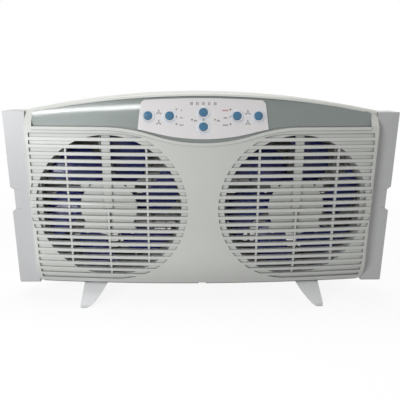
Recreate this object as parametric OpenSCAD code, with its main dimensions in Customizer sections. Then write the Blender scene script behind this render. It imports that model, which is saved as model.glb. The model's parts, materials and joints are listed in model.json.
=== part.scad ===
// Twin window fan: a bowed grille casing that holds two axial fans, a control
// panel across its arched top, a sliding extender at each side and two saddle feet.
// Millimetres. X runs along the width, -Y is the room side, Z = 0 is the surface
// that the feet stand on. The origin is the middle of the footprint.

/* [Casing] */
// Width of the casing between its side walls
case_w = 538; // [520:2:640]
// Depth of the casing from its front to its back
case_d = 105; // [100:1:130]
// Height of the casing at its sides
side_h = 282; // [278:1:300]
// How much higher the arched top is in the middle
arch_rise = 27; // [18:1:40]
// How far the front bows forward in the middle
bow_depth = 15.7; // [8:0.1:20]
// Wall of the moulded shells
wall = 2.5; // [2:0.1:3.5]
// Height over which the front turns under at the bottom
under_h = 54; // [30:1:70]
// Radius of that turn
under_r = 86; // [75:1:140]
// Angle at which the control face leans back
lean = 15; // [8:1:22]
// Radius of the bend into the leaning face
lean_r = 60; // [30:1:90]
// Radius of the rounded top front edge
edge_r = 8; // [4:0.5:10]
// Radius of the upright front corners
corner_r = 6; // [3:0.5:9]
// Radius of the bottom corners
base_r = 8; // [3:0.5:12]
// Height of the shadow line along the bottom edge
shadow_h = 3.6; // [2:0.1:5]
// Depth of the shadow line
shadow_d = 2; // [1:0.1:2]

/* [Grille] */
// Diameter of each fan opening
opening_d = 226; // [200:1:230]
// Face left beside an opening at the casing's side
side_margin = 10; // [8:0.5:20]
// Face left under an opening
base_margin = 21; // [18:0.5:30]
// Distance from one slat to the next
slat_pitch = 11; // [9:0.5:16]
// Thickness of a slat
slat_t = 5; // [3:0.1:6]
// Depth of a slat from front to back
slat_d = 6.5; // [5:0.1:9]
// How far the first slat is above the middle of the opening
slat_lead = 106.8; // [100:0.1:112]
// Depth of the grooves that carry the slats on across the face
groove_d = 2; // [1:0.1:2.5]
// How far the grooves run past the opening towards the middle
groove_run = 9.5; // [4:0.5:12]
// Smooth margin between the grooves and the casing's side
groove_margin = 7; // [6.5:0.5:9]
// Width of the thin upright bars
bar_w = 3; // [2:0.1:5]
// Distance of the outer upright bars from the middle of the opening
bar_x = 61; // [55:1:75]
// Width of the wire channel above the hub plate
channel_w = 13; // [9:0.5:18]
// Diameter of the plate that hides the motor
hub_plate_d = 88; // [84:1:96]
// Thickness of that plate
hub_plate_t = 3; // [2:0.1:4]
// Distance from the motor's axis to its four screws
ear_r = 50; // [48:0.5:54]
// Diameter of the lobes that take the screws
ear_d = 13; // [11:0.5:15]
// Length of the duct behind the front
duct_back = 57; // [50:1:58]

/* [Control face] */
// Height of the lip above the openings, beside the panel
lip_gap = 11.5; // [10:0.5:14]
// How far the lip dips in the middle
lip_dip = 22.5; // [16:0.5:24]
// Half the width over which it dips
lip_run = 150; // [130:1:160]
// Height of the raised lip
lip_h = 4.5; // [3:0.1:6]
// How far the lip stands proud of the face
lip_proud = 1.2; // [0.6:0.1:2]
// Depth of the recess above the lip
recess_d = 4.2; // [3.5:0.1:5]
// White rim above the recess
rim_h = 5.5; // [4:0.5:8]
// White post at each end of the recess
post_w = 12; // [8:0.5:16]
// Thickness of the silver band
band_t = 1.6; // [1:0.1:2]
// Gap under the band at its ends
band_gap = 1.5; // [1:0.1:2.5]
// Extra gap under the band in the middle
band_gap_mid = 4.2; // [0:0.1:5]
// Width of the control panel
panel_w = 188; // [180:1:210]
// Thickness of the control panel
panel_t = 1.5; // [1:0.1:2]
// Silver left showing above the panel
panel_drop = 3; // [2:0.1:4]
// Radius of the panel's top corners
panel_r = 9; // [4:0.5:12]

/* [Buttons] */
// Diameter of a button
button_d = 13; // [10:0.1:14]
// How far a button stands out of the panel
button_proud = 2.2; // [1.5:0.1:3]
// Travel of a button
button_travel = 0.8; // [0.4:0.1:1]
// Height of the row of four buttons above the ends of the lip
button_rise = 16.5; // [14:0.5:19]
// Distance of the outer buttons from the middle
outer_button_x = 82; // [76:1:84]
// Distance of the inner buttons from the middle
inner_button_x = 50; // [46:1:56]
// Height of the lower middle button above the ends of the lip
low_button_rise = 1; // [0:0.5:3]
// Height of the upper middle button above the lower one
mid_button_pitch = 20.5; // [19:0.5:22]
// Width of the raised ring round a button
ring_w = 2.2; // [1.5:0.1:3]

/* [Fans] */
// Gap between the blade tips and the duct
tip_gap = 5; // [3:0.5:8]
// Blades on each fan
blades = 6; // [3:1:7]
// Axial advance of a blade in one turn
blade_pitch = 150; // [110:5:160]
// Thickness of a blade
blade_t = 2.2; // [1.6:0.1:3]
// Diameter of the blade hub
hub_d = 84; // [82:1:88]
// Wall of the blade hub
hub_wall = 2.5; // [2:0.1:3]
// Diameter of the motor can
motor_d = 72; // [60:1:74]
// Length of the motor can
motor_l = 30; // [26:1:31]
// Depth of the motor's seat behind the middle of the front
motor_seat = 18.5; // [18:0.5:19.5]
// Diameter of the motor shaft
shaft_d = 6; // [5:0.5:8]

/* [Extenders] */
// How far each extender slides out
extender_travel = 165; // [100:5:180]
// Width of the end piece beside the casing
end_w = 32.7; // [28:0.1:40]
// Depth of the end piece's face behind the middle of the front
end_set_back = 30; // [28:1:34]
// Height of the end piece
end_h = 280; // [276:1:282]
// Thickness of the sliding frame
frame_t = 5; // [4:0.1:6]
// Depth of the sliding frame behind the middle of the front
frame_y = 62; // [61:0.5:66]
// How far the frame reaches below the casing
frame_drop = 3; // [2:0.5:4]
// Half the gap between the two closed frames
frame_gap = 6; // [5.5:0.5:10]
// Sliding clearance of the frame
slide_gap = 0.3; // [0.2:0.05:0.5]
// Height of the finger grip
grip_h = 40; // [34:1:60]
// Height of the grip's middle above the casing's bottom
grip_z = 143; // [100:1:180]
// How far the grip cuts into the face
grip_cut = 5; // [4:0.5:7]
// Width of the pocket behind it
grip_w = 14; // [12:0.5:18]
// Depth of the pocket behind the face
grip_d = 20; // [16:1:24]

/* [Feet] */
// Height of the feet
foot_h = 28; // [24:1:40]
// Distance from the middle to a foot's outer side
foot_x = 195.5; // [170:0.5:215]
// Width of a foot under the casing
foot_w = 38.5; // [30:0.5:50]
// Width of a toe
toe_w = 9.5; // [8:0.5:14]
// How far the toes reach out in front and behind
toe_reach = 60.5; // [56:0.5:80]
// Length of a toe on the ground
toe_l = 11; // [8:0.5:16]

/* [Hidden] */
$fn = 96;
large_fn = 720;
white = [0.80, 0.80, 0.78];
silver = [0.62, 0.65, 0.64];
fan_blue = [0.22, 0.27, 0.62];
button_blue = [0.13, 0.42, 0.70];
dark = [0.15, 0.15, 0.16];
steel = [0.66, 0.67, 0.69];
brass = [0.72, 0.58, 0.30];
board_green = [0.10, 0.36, 0.22];
over = 20;           // how far a cutting shape runs past what it cuts
eps = 0.01;
fit = 0.05;          // clearance of parts that are pushed together
running = 0.05;      // radial clearance of a turning shaft

half_w = case_w / 2;
front = -case_d / 2;
back = case_d / 2;
crest = side_h + arch_rise;
arch_r = (half_w * half_w + arch_rise * arch_rise) / (2 * arch_rise);
arch_z = crest - arch_r;
bow_r = (half_w * half_w + bow_depth * bow_depth) / (2 * bow_depth);
bow_y = front + bow_r;
bow_angle = 2 * asin((half_w + over) / bow_r);
opening_r = opening_d / 2;
fan_x = half_w - side_margin - opening_r;
fan_z = base_margin + opening_r;
lip_z = fan_z + opening_r + lip_gap;
lean_lead = 2;       // the face starts to lean this far below the lip
lean_z = lip_z - lip_dip - lip_h - lean_lead;
skin_wall = groove_d + wall;
deep_wall = recess_d + wall;
duct_wall = wall;
plate_depth = slat_d - eps - 0.5;

frame_front = front + frame_y;
frame_back = frame_front + frame_t;
front_edge = frame_front - slide_gap;
rear_edge = frame_back + slide_gap;
slot_rise = 12;      // of the frame's slot above the lip
slot_top = lip_z + slot_rise;
frame_top = slot_top - slide_gap;
lap = 6;             // how far the bulkheads overlap the frame

// Depth of the front face behind its most forward line, and its place in Y.
function bow_at(x, depth) = bow_y - sqrt((bow_r - depth) * (bow_r - depth) - x * x);
function lean_depth(z, d) = lean_r - (lean_r - d) * cos(lean)
  + (z - lean_z - (lean_r - d) * sin(lean)) * tan(lean);
function face_y(x, z, d) = bow_at(x, lean_depth(z, d));

// The lip's edge: level at the sides, then two equal arcs down to the middle.
function dip_r(dip) = (lip_run * lip_run / 4 + dip * dip / 4) / dip;
function wave(x, dip) = let (a = abs(x), r = dip_r(dip))
  a >= lip_run ? 0
  : a >= lip_run / 2 ? sqrt(r * r - (lip_run - a) * (lip_run - a)) - r
  : r - dip - sqrt(r * r - a * a);
function wave_points(half, z, dip) = [
  for (i = [-wave_steps : wave_steps])
    let (x = i * lip_run / wave_steps) if (abs(x) < half - eps) [x, z + wave(x, dip)]];
wave_steps = 20;

function arc(cx, cy, r, from, to, steps) = [
  for (i = [0 : steps]) let (a = from + (to - from) * i / steps)
    [cx + r * cos(a), cy + r * sin(a)]];

module in_case() { translate([0, 0, foot_h]) children(); }
module along_y(y0, y1) {
  translate([0, y1, 0]) rotate([90, 0, 0]) linear_extrude(height = y1 - y0) children();
}
module along_x(x0, x1) {
  translate([x0, 0, 0]) rotate([90, 0, 90]) linear_extrude(height = x1 - x0) children();
}
module rod(x, z, y0, y1, r) {
  translate([x, y1, z]) rotate([90, 0, 0]) cylinder(r = r, h = y1 - y0);
}
module both_sides() { children(); mirror([1, 0, 0]) children(); }
module side(s) { mirror([s < 0 ? 1 : 0, 0, 0]) children(); }

// ---- the casing's form -------------------------------------------------------

// Section of everything behind the front face, d behind it, as radius and height.
module front_section(d) {
  inner = bow_r - case_d - over;
  bend = lean_r - d;
  top = (crest + over - lean_z) / cos(lean);
  intersection() {
    translate([bow_r - under_r, under_h]) circle(r = under_r - d, $fn = large_fn);
    translate([inner, -over]) square([bow_r - inner, under_h + over]);
  }
  polygon(concat(
    [[inner, under_h], [bow_r - d, under_h]],
    arc(bow_r - lean_r, lean_z, bend, 0, lean, 3),
    [[bow_r - lean_r + bend * cos(lean) - top * sin(lean), lean_z + bend * sin(lean) + top * cos(lean)],
     [inner, lean_z + bend * sin(lean) + top * cos(lean)]]));
}

module swept() {
  translate([0, bow_y, 0]) rotate([0, 0, -90 - bow_angle / 2])
    rotate_extrude(angle = bow_angle, $fn = large_fn) children();
}

module behind_face(d) { swept() front_section(d); }

// A skin between two depths behind the front face.
module skin(d0, d1) {
  swept() difference() { front_section(d0); front_section(d1); }
}

module face_outline(inset) {
  w = half_w - inset;
  r = max(base_r - inset, 1);
  intersection() {
    translate([0, arch_z]) circle(r = arch_r - inset, $fn = large_fn);
    polygon(concat(
      arc(w - r, inset + r, r, -90, 0, 4),
      [[w, crest + over], [-w, crest + over]],
      arc(-w + r, inset + r, r, 180, 270, 4)));
  }
}

// Plan of the casing: three flats round each front corner and one at the back.
module plan_outline() {
  cx = half_w - corner_r;
  cy = bow_y - sqrt((bow_r - corner_r) * (bow_r - corner_r) - cx * cx);
  turn = 22.5;
  reach = corner_r / cos(turn / 2);
  last = -3.5 * turn;
  right = concat(
    [[half_w - corner_r / 2, back + eps], [half_w, back - corner_r / 2]],
    [for (k = [0 : 3]) let (a = -(k + 0.5) * turn) [cx + reach * cos(a), cy + reach * sin(a)]],
    [[cx + reach * cos(last) - over * 2, cy + reach * sin(last) - over * 2 * tan(turn)]]);
  polygon(concat(right, [for (i = [len(right) - 1 : -1 : 0]) [-right[i][0], right[i][1]]]));
}

// One flat of the rounded top edge, which follows both the bow and the arch.
module edge_flat(a, inset = 0) {
  q = bow_at(0, lean_depth(side_h, 0));
  cz = crest - edge_r;
  cy = q + (edge_r + sin(lean) * (cz - side_h)) / cos(lean);
  r = 1 / (cos(a) / arch_r + sin(a) / bow_r);
  translate([0, cy - sin(a) * (edge_r - r), cz + cos(a) * (edge_r - r)])
    rotate([a - 90, 0, 0]) cylinder(r = r - inset, h = 4 * crest, center = true, $fn = large_fn);
}

module casing() {
  intersection() {
    behind_face(0);
    along_y(front - over, back) face_outline(0);
    translate([0, 0, -over]) linear_extrude(height = crest + 2 * over) plan_outline();
    edge_flat(19);
    edge_flat(38);
    edge_flat(57);
  }
}

// The space inside, with a thicker wall behind the recess.
module hollow(y1) {
  intersection() {
    swept() {
      intersection() {
        front_section(skin_wall);
        translate([0, -over]) square([bow_r, lean_z + over]);
      }
      front_section(deep_wall);
    }
    along_y(front - over, y1) face_outline(wall);
    edge_flat(38, wall);
    edge_flat(57, wall);
  }
}

// ---- places on the casing ------------------------------------------------------

seat_y = front + motor_seat;
hub_r = hub_d / 2;
blade_r = opening_r - tip_gap;
panel_depth = recess_d - band_t - panel_t;
button_r = button_d / 2;
flange_r = button_r + 1.2;
flange_t = 1.2;
flange_gap = 0.4;    // behind the bowed panel
button_gap = 0.15;
board_depth = 14;    // from the face to the board, square to the panel
board_t = 1.6;
board_rise = 17;     // of the board's middle above the lip
board_h = 40;
switch_h = 4.8;
press_gap = button_travel + 0.1;
light_r = 1.1;
post_x = panel_w / 2 + 3.5;
post_low = 8;        // heights of the board's posts above the lip
post_high = 31;
post_zs = [lip_z + post_low, lip_z + post_high];
post_r = 3.5;
screw_r = 1.5;
head_r = 3;
head_h = 1.6;
bottom_slot_y = [front + 42, front + 84.5];
clip_w = 12;
clip_t = 2.4;
clip_gap = 0.3;
column_r = 5.5;
shank_r = 1.6;
shank_l = 14;        // of the housing screws in the front shell
housing_head_r = 3.4;
housing_head_h = 2.4;
counterbore = 12;    // floor of the deep screw wells, behind the joint of the shells
column_drop = 8;     // of the upper screw columns below the roof
gland_inset = 69;    // from the casing's side
gland_x = gland_inset - half_w;
gland_drop = 11;
gland_r = 6;
gland_bore = 3.75;
lead_r = 1.8;
lead_y = seat_y + 3.5;
foot_mid = foot_x - foot_w / 2;

function roof_z(x, inset) = arch_z + sqrt((arch_r - inset) * (arch_r - inset) - x * x);
column_gap = 24;     // from the panel's side to the column beside it
column_inset = 19;   // from the casing's side to the outer column
column_low = under_h - 8;  // the lowest middle column, where the face hardly turns under
column_high = 90;    // of the highest one above the fans' axes
upper_x = [panel_w / 2 + column_gap, half_w - column_inset];
columns = concat(
  [for (x = upper_x, s = [-1, 1])
    [s * x, max(roof_z(x, wall) - column_drop, slot_top + column_r + slide_gap)]],
  [for (z = [column_low, fan_z, fan_z + column_high]) [0, z]]);
gland_z = roof_z(gland_x, wall) - gland_drop;
ears = [for (a = [45 : 90 : 315]) [fan_x + ear_r * cos(a), fan_z + ear_r * sin(a)]];
button_z = lip_z + button_rise;
low_z = lip_z + low_button_rise;
buttons = [
  [-outer_button_x, button_z], [-inner_button_x, button_z],
  [0, low_z + mid_button_pitch], [0, low_z],
  [inner_button_x, button_z], [outer_button_x, button_z]];
light_step = 10.5;
light_x = 40;
light_drop = 1;
mid_light_pitch = 17;
lights = concat(
  [for (s = [-1, 1], k = [-1 : 1]) [s * light_x, button_z - light_drop + k * light_step]],
  [for (k = [-1 : 1]) [k * mid_light_pitch, low_z + mid_button_pitch / 2]]);

// Local frame on the face, d behind it: z points out of it and y up along it.
module on_face(x, z, d) {
  translate([x, face_y(x, z, d), z]) rotate([90 - lean, 0, 0]) children();
}
board_z = lip_z + board_rise;
module on_board() { on_face(0, board_z, 0) translate([0, 0, -board_depth]) children(); }
function up_board(z) = (z - board_z) / cos(lean);
// Distance from the panel's front to the board, square to the panel.
function to_board(x) = board_depth - panel_depth - (bow_at(x, 0) - front) * cos(lean);

module fan_disc(r, y0, y1) { rod(fan_x, fan_z, y0, y1, r); }
module below_lip(drop) {
  pts = wave_points(half_w, lip_z - drop, lip_dip);
  polygon(concat([[-half_w, -over], [-half_w, lip_z - drop]], pts,
    [[half_w, lip_z - drop], [half_w, -over]]));
}
module above_edge(half, z, dip) {
  polygon(concat([[-half, crest + over], [-half, z + wave(half, dip)]],
    wave_points(half, z, dip), [[half, z + wave(half, dip)], [half, crest + over]]));
}
module under_arch(inset) { translate([0, arch_z]) circle(r = arch_r - inset, $fn = large_fn); }

// ---- the shells ----------------------------------------------------------------

groove_floor = 9;    // no gap starts lower than this
groove_count = floor((fan_z + slat_lead + slat_pitch / 2 - groove_floor) / slat_pitch) + 1;
module gap_strips() {
  for (k = [0 : groove_count - 1])
    translate([0, fan_z + slat_lead + slat_pitch * (0.5 - k)])
      square([4 * half_w, slat_pitch - slat_t], center = true);
}

module grooves() {
  intersection() {
    skin(-over / 4, groove_d);
    along_y(front - over, front + 3 * over) intersection() {
      gap_strips();
      below_lip(lip_h + 3);
      union() {
        translate([fan_x, fan_z]) circle(r = opening_r + groove_run);
        translate([fan_x, 0]) square([half_w - groove_margin - fan_x, crest]);
      }
    }
  }
}

module air_gaps() {
  along_y(front - over, front + over) intersection() {
    gap_strips();
    translate([fan_x, fan_z]) circle(r = opening_r);
  }
}

module duct() {
  intersection() {
    behind_face(1);
    difference() {
      fan_disc(opening_r + duct_wall, front, front + duct_back);
      fan_disc(opening_r, front - over, back);
      translate([fan_x, lead_y, fan_z + opening_r - over]) cylinder(r = lead_r + 1, h = 2 * over);
    }
  }
}

module grille_bars() {
  intersection() {
    skin(1.5, slat_d);
    along_y(front, front + 2 * over) intersection() {
      translate([fan_x, fan_z]) circle(r = opening_r + 1);
      union() {
        for (x = [-bar_x, bar_x])
          translate([fan_x + x, fan_z]) square([bar_w, opening_d], center = true);
        translate([fan_x - bar_w / 2, fan_z - opening_r]) square([bar_w, opening_r]);
      }
    }
  }
  intersection() {
    skin(slat_d - 2.5, slat_d + 1.5);
    along_y(front, front + 2 * over) intersection() {
      translate([fan_x, fan_z]) circle(r = opening_r + 1);
      translate([fan_x - channel_w / 2, fan_z]) square([channel_w, opening_d]);
    }
  }
}

module hub_plate() {
  intersection() {
    skin(plate_depth, plate_depth + hub_plate_t);
    union() {
      fan_disc(hub_plate_d / 2, front, front + 2 * over);
      for (e = ears) rod(e[0], e[1], front, front + 2 * over, ear_d / 2);
    }
  }
  for (e = ears) difference() {
    rod(e[0], e[1], bow_at(e[0], plate_depth + 1), seat_y, ear_d / 2 - 1);
    rod(e[0], e[1], bow_at(e[0], plate_depth + hub_plate_t), seat_y + over, screw_r + fit);
  }
}

module lip() {
  intersection() {
    skin(-lip_proud, 1);
    along_y(front - over, front + 2 * over) intersection() {
      below_lip(0);
      above_edge(half_w - post_w, lip_z - lip_h, lip_dip);
    }
  }
}

module recess_outline(gap) {
  intersection() {
    above_edge(half_w - post_w - gap, lip_z, lip_dip);
    under_arch(rim_h + gap);
  }
}

module panel_window() {
  intersection() {
    above_edge(panel_w / 2 - 3, lip_z + 7, lip_dip);
    under_arch(rim_h + panel_drop + 6);
  }
}

module bulkhead(y0) {
  intersection() {
    along_y(y0, y0 + wall) face_outline(wall - eps);
    translate([-half_w, front, slot_top - lap]) cube([case_w, 2 * case_d, crest]);
  }
}

// The set-back line along the bottom edge, and the notch through it in the middle.
notch_w = 12;
notch_d = 28;
module shadow_line() {
  intersection() {
    skin(-over / 4, shadow_d);
    along_y(front - over, back) both_sides()
      translate([notch_w / 2 - eps, -over]) square([case_w, over + shadow_h]);
  }
  translate([-notch_w / 2, front - over, -over]) cube([notch_w, over + notch_d, over + shadow_h]);
}

module foot_slots(y) {
  both_sides() translate([foot_mid, y, 0])
    cube([clip_w + 2 * clip_gap, clip_t + 2 * clip_gap, 4 * wall], center = true);
}

module front_housing() color(white) in_case() {
  difference() {
    union() {
      difference() {
        intersection() {
          casing();
          translate([-case_w, front - over, -over]) cube([2 * case_w, front_edge - front + over, 2 * crest]);
        }
        hollow(back);
      }
      both_sides() intersection() {
        skin(eps, slat_d);
        fan_disc(opening_r + duct_wall / 2, front - over, front + 2 * over);
      }
      both_sides() duct();
      lip();
      bulkhead(front_edge - wall);
      for (c = columns)
        rod(c[0], c[1], face_back(c), front_edge, c[0] == 0 ? column_r - 1 : column_r);
      for (s = [-1, 1], z = post_zs) on_board()
        translate([s * post_x, up_board(z), 0]) cylinder(r = post_r, h = board_depth - deep_wall + 1.5);
    }
    both_sides() grooves();
    shadow_line();
    both_sides() air_gaps();
    intersection() {
      skin(-over / 4, recess_d);
      along_y(front - over, front + 3 * over) recess_outline(0);
    }
    along_y(front - over, front + 2 * over) panel_window();
    for (c = columns) rod(c[0], c[1], front_edge - shank_l - 3, front_edge + over, shank_r + fit);
    for (s = [-1, 1], z = post_zs) on_board()
      translate([s * post_x, up_board(z), -eps]) cylinder(r = screw_r + fit, h = 6);
    rod(gland_x, gland_z, front_edge - over, front_edge + over, gland_bore + 1);
    foot_slots(bottom_slot_y[0]);
  }
  both_sides() grille_bars();
  both_sides() hub_plate();
}
function face_back(c) = c[1] > lean_z ? face_y(c[0], c[1], deep_wall - 1) : bow_at(c[0], skin_wall - 1);

rear_slat_d = 14;
rear_slat_t = 2.2;
rear_drop = 11;      // fall of a louvre from front to back
rear_disc_r = 30;
module rear_grille() {
  intersection() {
    fan_disc(opening_r + duct_wall / 2, back - rear_slat_d - 1, back);
    union() {
      along_x(fan_x - opening_r - over, fan_x + opening_r + over)
        for (k = [0 : groove_count - 1]) translate([0, fan_z + slat_lead - slat_pitch * (k - 0.5)])
          polygon([
            [back - rear_slat_d, -rear_slat_t / 2], [back - rear_slat_d, rear_slat_t / 2],
            [back - 1, rear_slat_t / 2 - rear_drop], [back - 1, -rear_slat_t / 2 - rear_drop]]);
      along_y(back - rear_slat_d + 1, back - 1.5) for (x = [-bar_x, 0, bar_x])
        translate([fan_x + x, fan_z]) square([bar_w, 2 * opening_d], center = true);
      fan_disc(rear_disc_r, back - wall, back - eps);
    }
  }
}

module rear_housing() color(white) in_case() {
  difference() {
    union() {
      difference() {
        intersection() {
          casing();
          union() {
            translate([-case_w, rear_edge, -over]) cube([2 * case_w, case_d, 2 * crest]);
            translate([-case_w, front_edge, slot_top]) cube([2 * case_w, case_d, crest]);
          }
        }
        hollow(back - wall);
        both_sides() fan_disc(opening_r, front, back + over);
      }
      both_sides() difference() {
        fan_disc(opening_r + duct_wall, rear_edge + 3, back - 1);
        fan_disc(opening_r, front, back + over);
      }
      both_sides() rear_grille();
      bulkhead(rear_edge);
      translate([-half_w + wall / 2, front_edge, slot_top])
        cube([case_w - wall, rear_edge - front_edge + wall, wall]);
      for (c = columns) rod(c[0], c[1], front_edge, back - 1, column_r);
    }
    for (c = columns) {
      rod(c[0], c[1], front_edge - over, back + over, shank_r + 3 * fit);
      rod(c[0], c[1], front_edge + counterbore, back + over, housing_head_r + 0.5);
    }
    rod(gland_x, gland_z, front_edge - over, back - over, gland_bore + 1);
    rod(gland_x, gland_z, back - over, back + over, gland_r + fit);
    foot_slots(bottom_slot_y[1]);
  }
}

module trim_band() color(silver) in_case() difference() {
  intersection() {
    skin(recess_d - band_t, recess_d);
    along_y(front - over, front + 3 * over) intersection() {
      recess_outline(0.2);
      above_edge(half_w - post_w - 0.2, lip_z + band_gap, lip_dip - band_gap_mid);
    }
  }
  along_y(front - over, front + 2 * over) panel_window();
}

module panel_outline() {
  top_half = panel_w / 2 - 0.5;
  foot_half = panel_w / 2 + 3;
  corner_lift = 0.3;   // the arch cuts the rounded corners this far down
  cx = top_half - panel_r;
  cz = roof_z(cx, rim_h + panel_drop) - panel_r + corner_lift;
  intersection() {
    under_arch(rim_h + panel_drop);
    above_edge(foot_half, lip_z + band_gap, lip_dip - band_gap_mid);
    polygon(concat(
      [[-foot_half, lip_z - lip_dip], [foot_half, lip_z - lip_dip], [foot_half, lip_z]],
      arc(cx, cz, panel_r, 0, 90, 5), [[cx, crest], [-cx, crest]],
      arc(-cx, cz, panel_r, 90, 180, 5), [[-foot_half, lip_z]]));
  }
}

module control_panel() color([0.85, 0.84, 0.83]) in_case() difference() {
  union() {
    intersection() {
      skin(panel_depth, panel_depth + panel_t);
      along_y(front - over, front + 3 * over) panel_outline();
    }
    for (b = buttons) on_face(b[0], b[1], panel_depth)
      translate([0, 0, -panel_t / 2]) cylinder(r = button_r + ring_w, h = panel_t / 2 + 0.7);
  }
  for (b = buttons) on_face(b[0], b[1], panel_depth)
    translate([0, 0, -over / 2]) cylinder(r = button_r + button_gap, h = over);
  for (p = lights) on_face(p[0], p[1], panel_depth)
    translate([0, 0, -over / 2]) cylinder(r = light_r + 0.1, h = over);
}

module button(i) color(button_blue) in_case() {
  b = buttons[i];
  on_face(b[0], b[1], panel_depth) {
    rotate_extrude() polygon(concat(
      [[0, -panel_t - flange_gap - flange_t], [flange_r, -panel_t - flange_gap - flange_t],
       [flange_r, -panel_t - flange_gap], [button_r, -panel_t - flange_gap]],
      arc(button_r - 1, button_proud - 1.3, 1, 0, 70, 3), [[0, button_proud]]));
    translate([0, 0, -to_board(b[0]) + switch_h + press_gap])
      cylinder(r = 2.5, h = to_board(b[0]) - switch_h - press_gap - panel_t - flange_gap - flange_t + eps);
  }
}

// ---- what the casing holds -------------------------------------------------------

board_w = 2 * (post_x + 5);
module control_board() color(board_green) in_case() on_board() difference() {
  translate([-board_w / 2, -board_h / 2, -board_t]) cube([board_w, board_h, board_t]);
  for (s = [-1, 1], z = post_zs)
    translate([s * post_x, up_board(z), -over / 2]) cylinder(r = screw_r + 0.2, h = over);
}

module board_screws() color(steel) in_case() on_board() for (s = [-1, 1], z = post_zs)
  translate([s * post_x, up_board(z), 0]) {
    translate([0, 0, -board_t - head_h]) cylinder(r = head_r, h = head_h);
    translate([0, 0, -board_t - eps]) cylinder(r = screw_r, h = board_t + 5);
  }

switch_w = 6;
plunger_r = 1.7;
module tact_switches() color(dark) in_case() on_board() for (b = buttons)
  translate([b[0], up_board(b[1]), 0]) {
    translate([-switch_w / 2, -switch_w / 2, 0]) cube([switch_w, switch_w, switch_h - 1]);
    cylinder(r = plunger_r, h = switch_h);
  }

module indicator_lights() color([0.55, 0.70, 0.35]) in_case() for (p = lights)
  on_face(p[0], p[1], panel_depth)
    translate([0, 0, 0.1 - to_board(p[0])]) cylinder(r = light_r, h = to_board(p[0]) + 0.2);

capacitor_x = 55;
capacitor_w = 30;
capacitor_h = 18;
capacitor_d = 15;
module run_capacitors() color([0.86, 0.70, 0.20]) in_case() on_board() for (s = [-1, 1])
  translate([s * capacitor_x - capacitor_w / 2, -capacitor_h / 2, -board_t - capacitor_d])
    cube([capacitor_w, capacitor_h, capacitor_d]);

module motor(s) color(dark) side(s) in_case() difference() {
  union() {
    fan_disc(motor_d / 2, seat_y, seat_y + motor_l);
    for (a = [45 : 90 : 315]) translate([fan_x, seat_y, fan_z]) rotate([0, -a, 0])
      translate([0, 0, -arm_w / 2]) cube([ear_r, arm_t, arm_w]);
    for (e = ears) rod(e[0], e[1], seat_y, seat_y + arm_t, arm_w / 2 + 1);
  }
  fan_disc(shaft_d / 2 + 1.2, front, back);
  fan_disc(bush_r + fit, front, seat_y + bush_l);
  fan_disc(bush_r + fit, seat_y + motor_l - bush_l, back);
  for (e = ears) rod(e[0], e[1], front, back, screw_r + 0.3);
}
arm_t = 2.2;
arm_w = 8;
bush_r = 6;
bush_l = 6;
module motor_bushes() color(brass) in_case() both_sides()
  for (y = [seat_y, seat_y + motor_l - bush_l]) difference() {
    fan_disc(bush_r, y, y + bush_l);
    fan_disc(shaft_d / 2 + running, front, back);
  }

module motor_screws() color(steel) in_case() both_sides() for (e = ears) {
  rod(e[0], e[1], seat_y + arm_t, seat_y + arm_t + head_h, head_r);
  rod(e[0], e[1], bow_at(e[0], plate_depth + hub_plate_t) + 0.5, seat_y + arm_t + eps, screw_r);
}

// The leads run up behind the wire channel, then across to the ends of the board.
module motor_leads() color([0.75, 0.72, 0.70]) in_case() both_sides() {
  z0 = fan_z + motor_d / 2 + fit;
  z1 = fan_z + opening_r + duct_wall + 1.9 * lead_r;
  x1 = board_w / 2 + lead_r + fit;
  translate([fan_x, lead_y, z0]) cylinder(r = lead_r, h = z1 - z0);
  translate([fan_x, lead_y, z1]) sphere(r = lead_r);
  translate([fan_x, lead_y, z1]) rotate([0, -90, 0]) cylinder(r = lead_r, h = fan_x - x1);
  translate([x1, lead_y, z1]) sphere(r = lead_r);
}

shaft_out = 11.5;    // how far the shaft comes out of the motor
hub_gap = 2.5;       // between the motor and the hub's floor
hub_lead = 10;       // of the hub's rim behind the motor's seat
boss_h = 2;          // height of the hub's boss
boss_r = 8;
press = 0.02;        // radial clearance of what is pressed on the shaft
shaft_y1 = seat_y + motor_l + shaft_out;
hub_floor = seat_y + motor_l + hub_gap;
hub_end = hub_floor + hub_wall;
boss_end = hub_end + boss_h;
module motor_shaft(s) color(steel) side(s) in_case()
  fan_disc(shaft_d / 2, seat_y + 0.5, shaft_y1);

// A blade is lofted from the hub to the tip on a helix of constant pitch.
blade_steps = 6;     // stations along the blade
chord_steps = 6;     // strips across it
blade_camber = 3.2;  // height of a blade's crown
blade_inset = 13.5;  // from the back of the hub to the blades' middle
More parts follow.
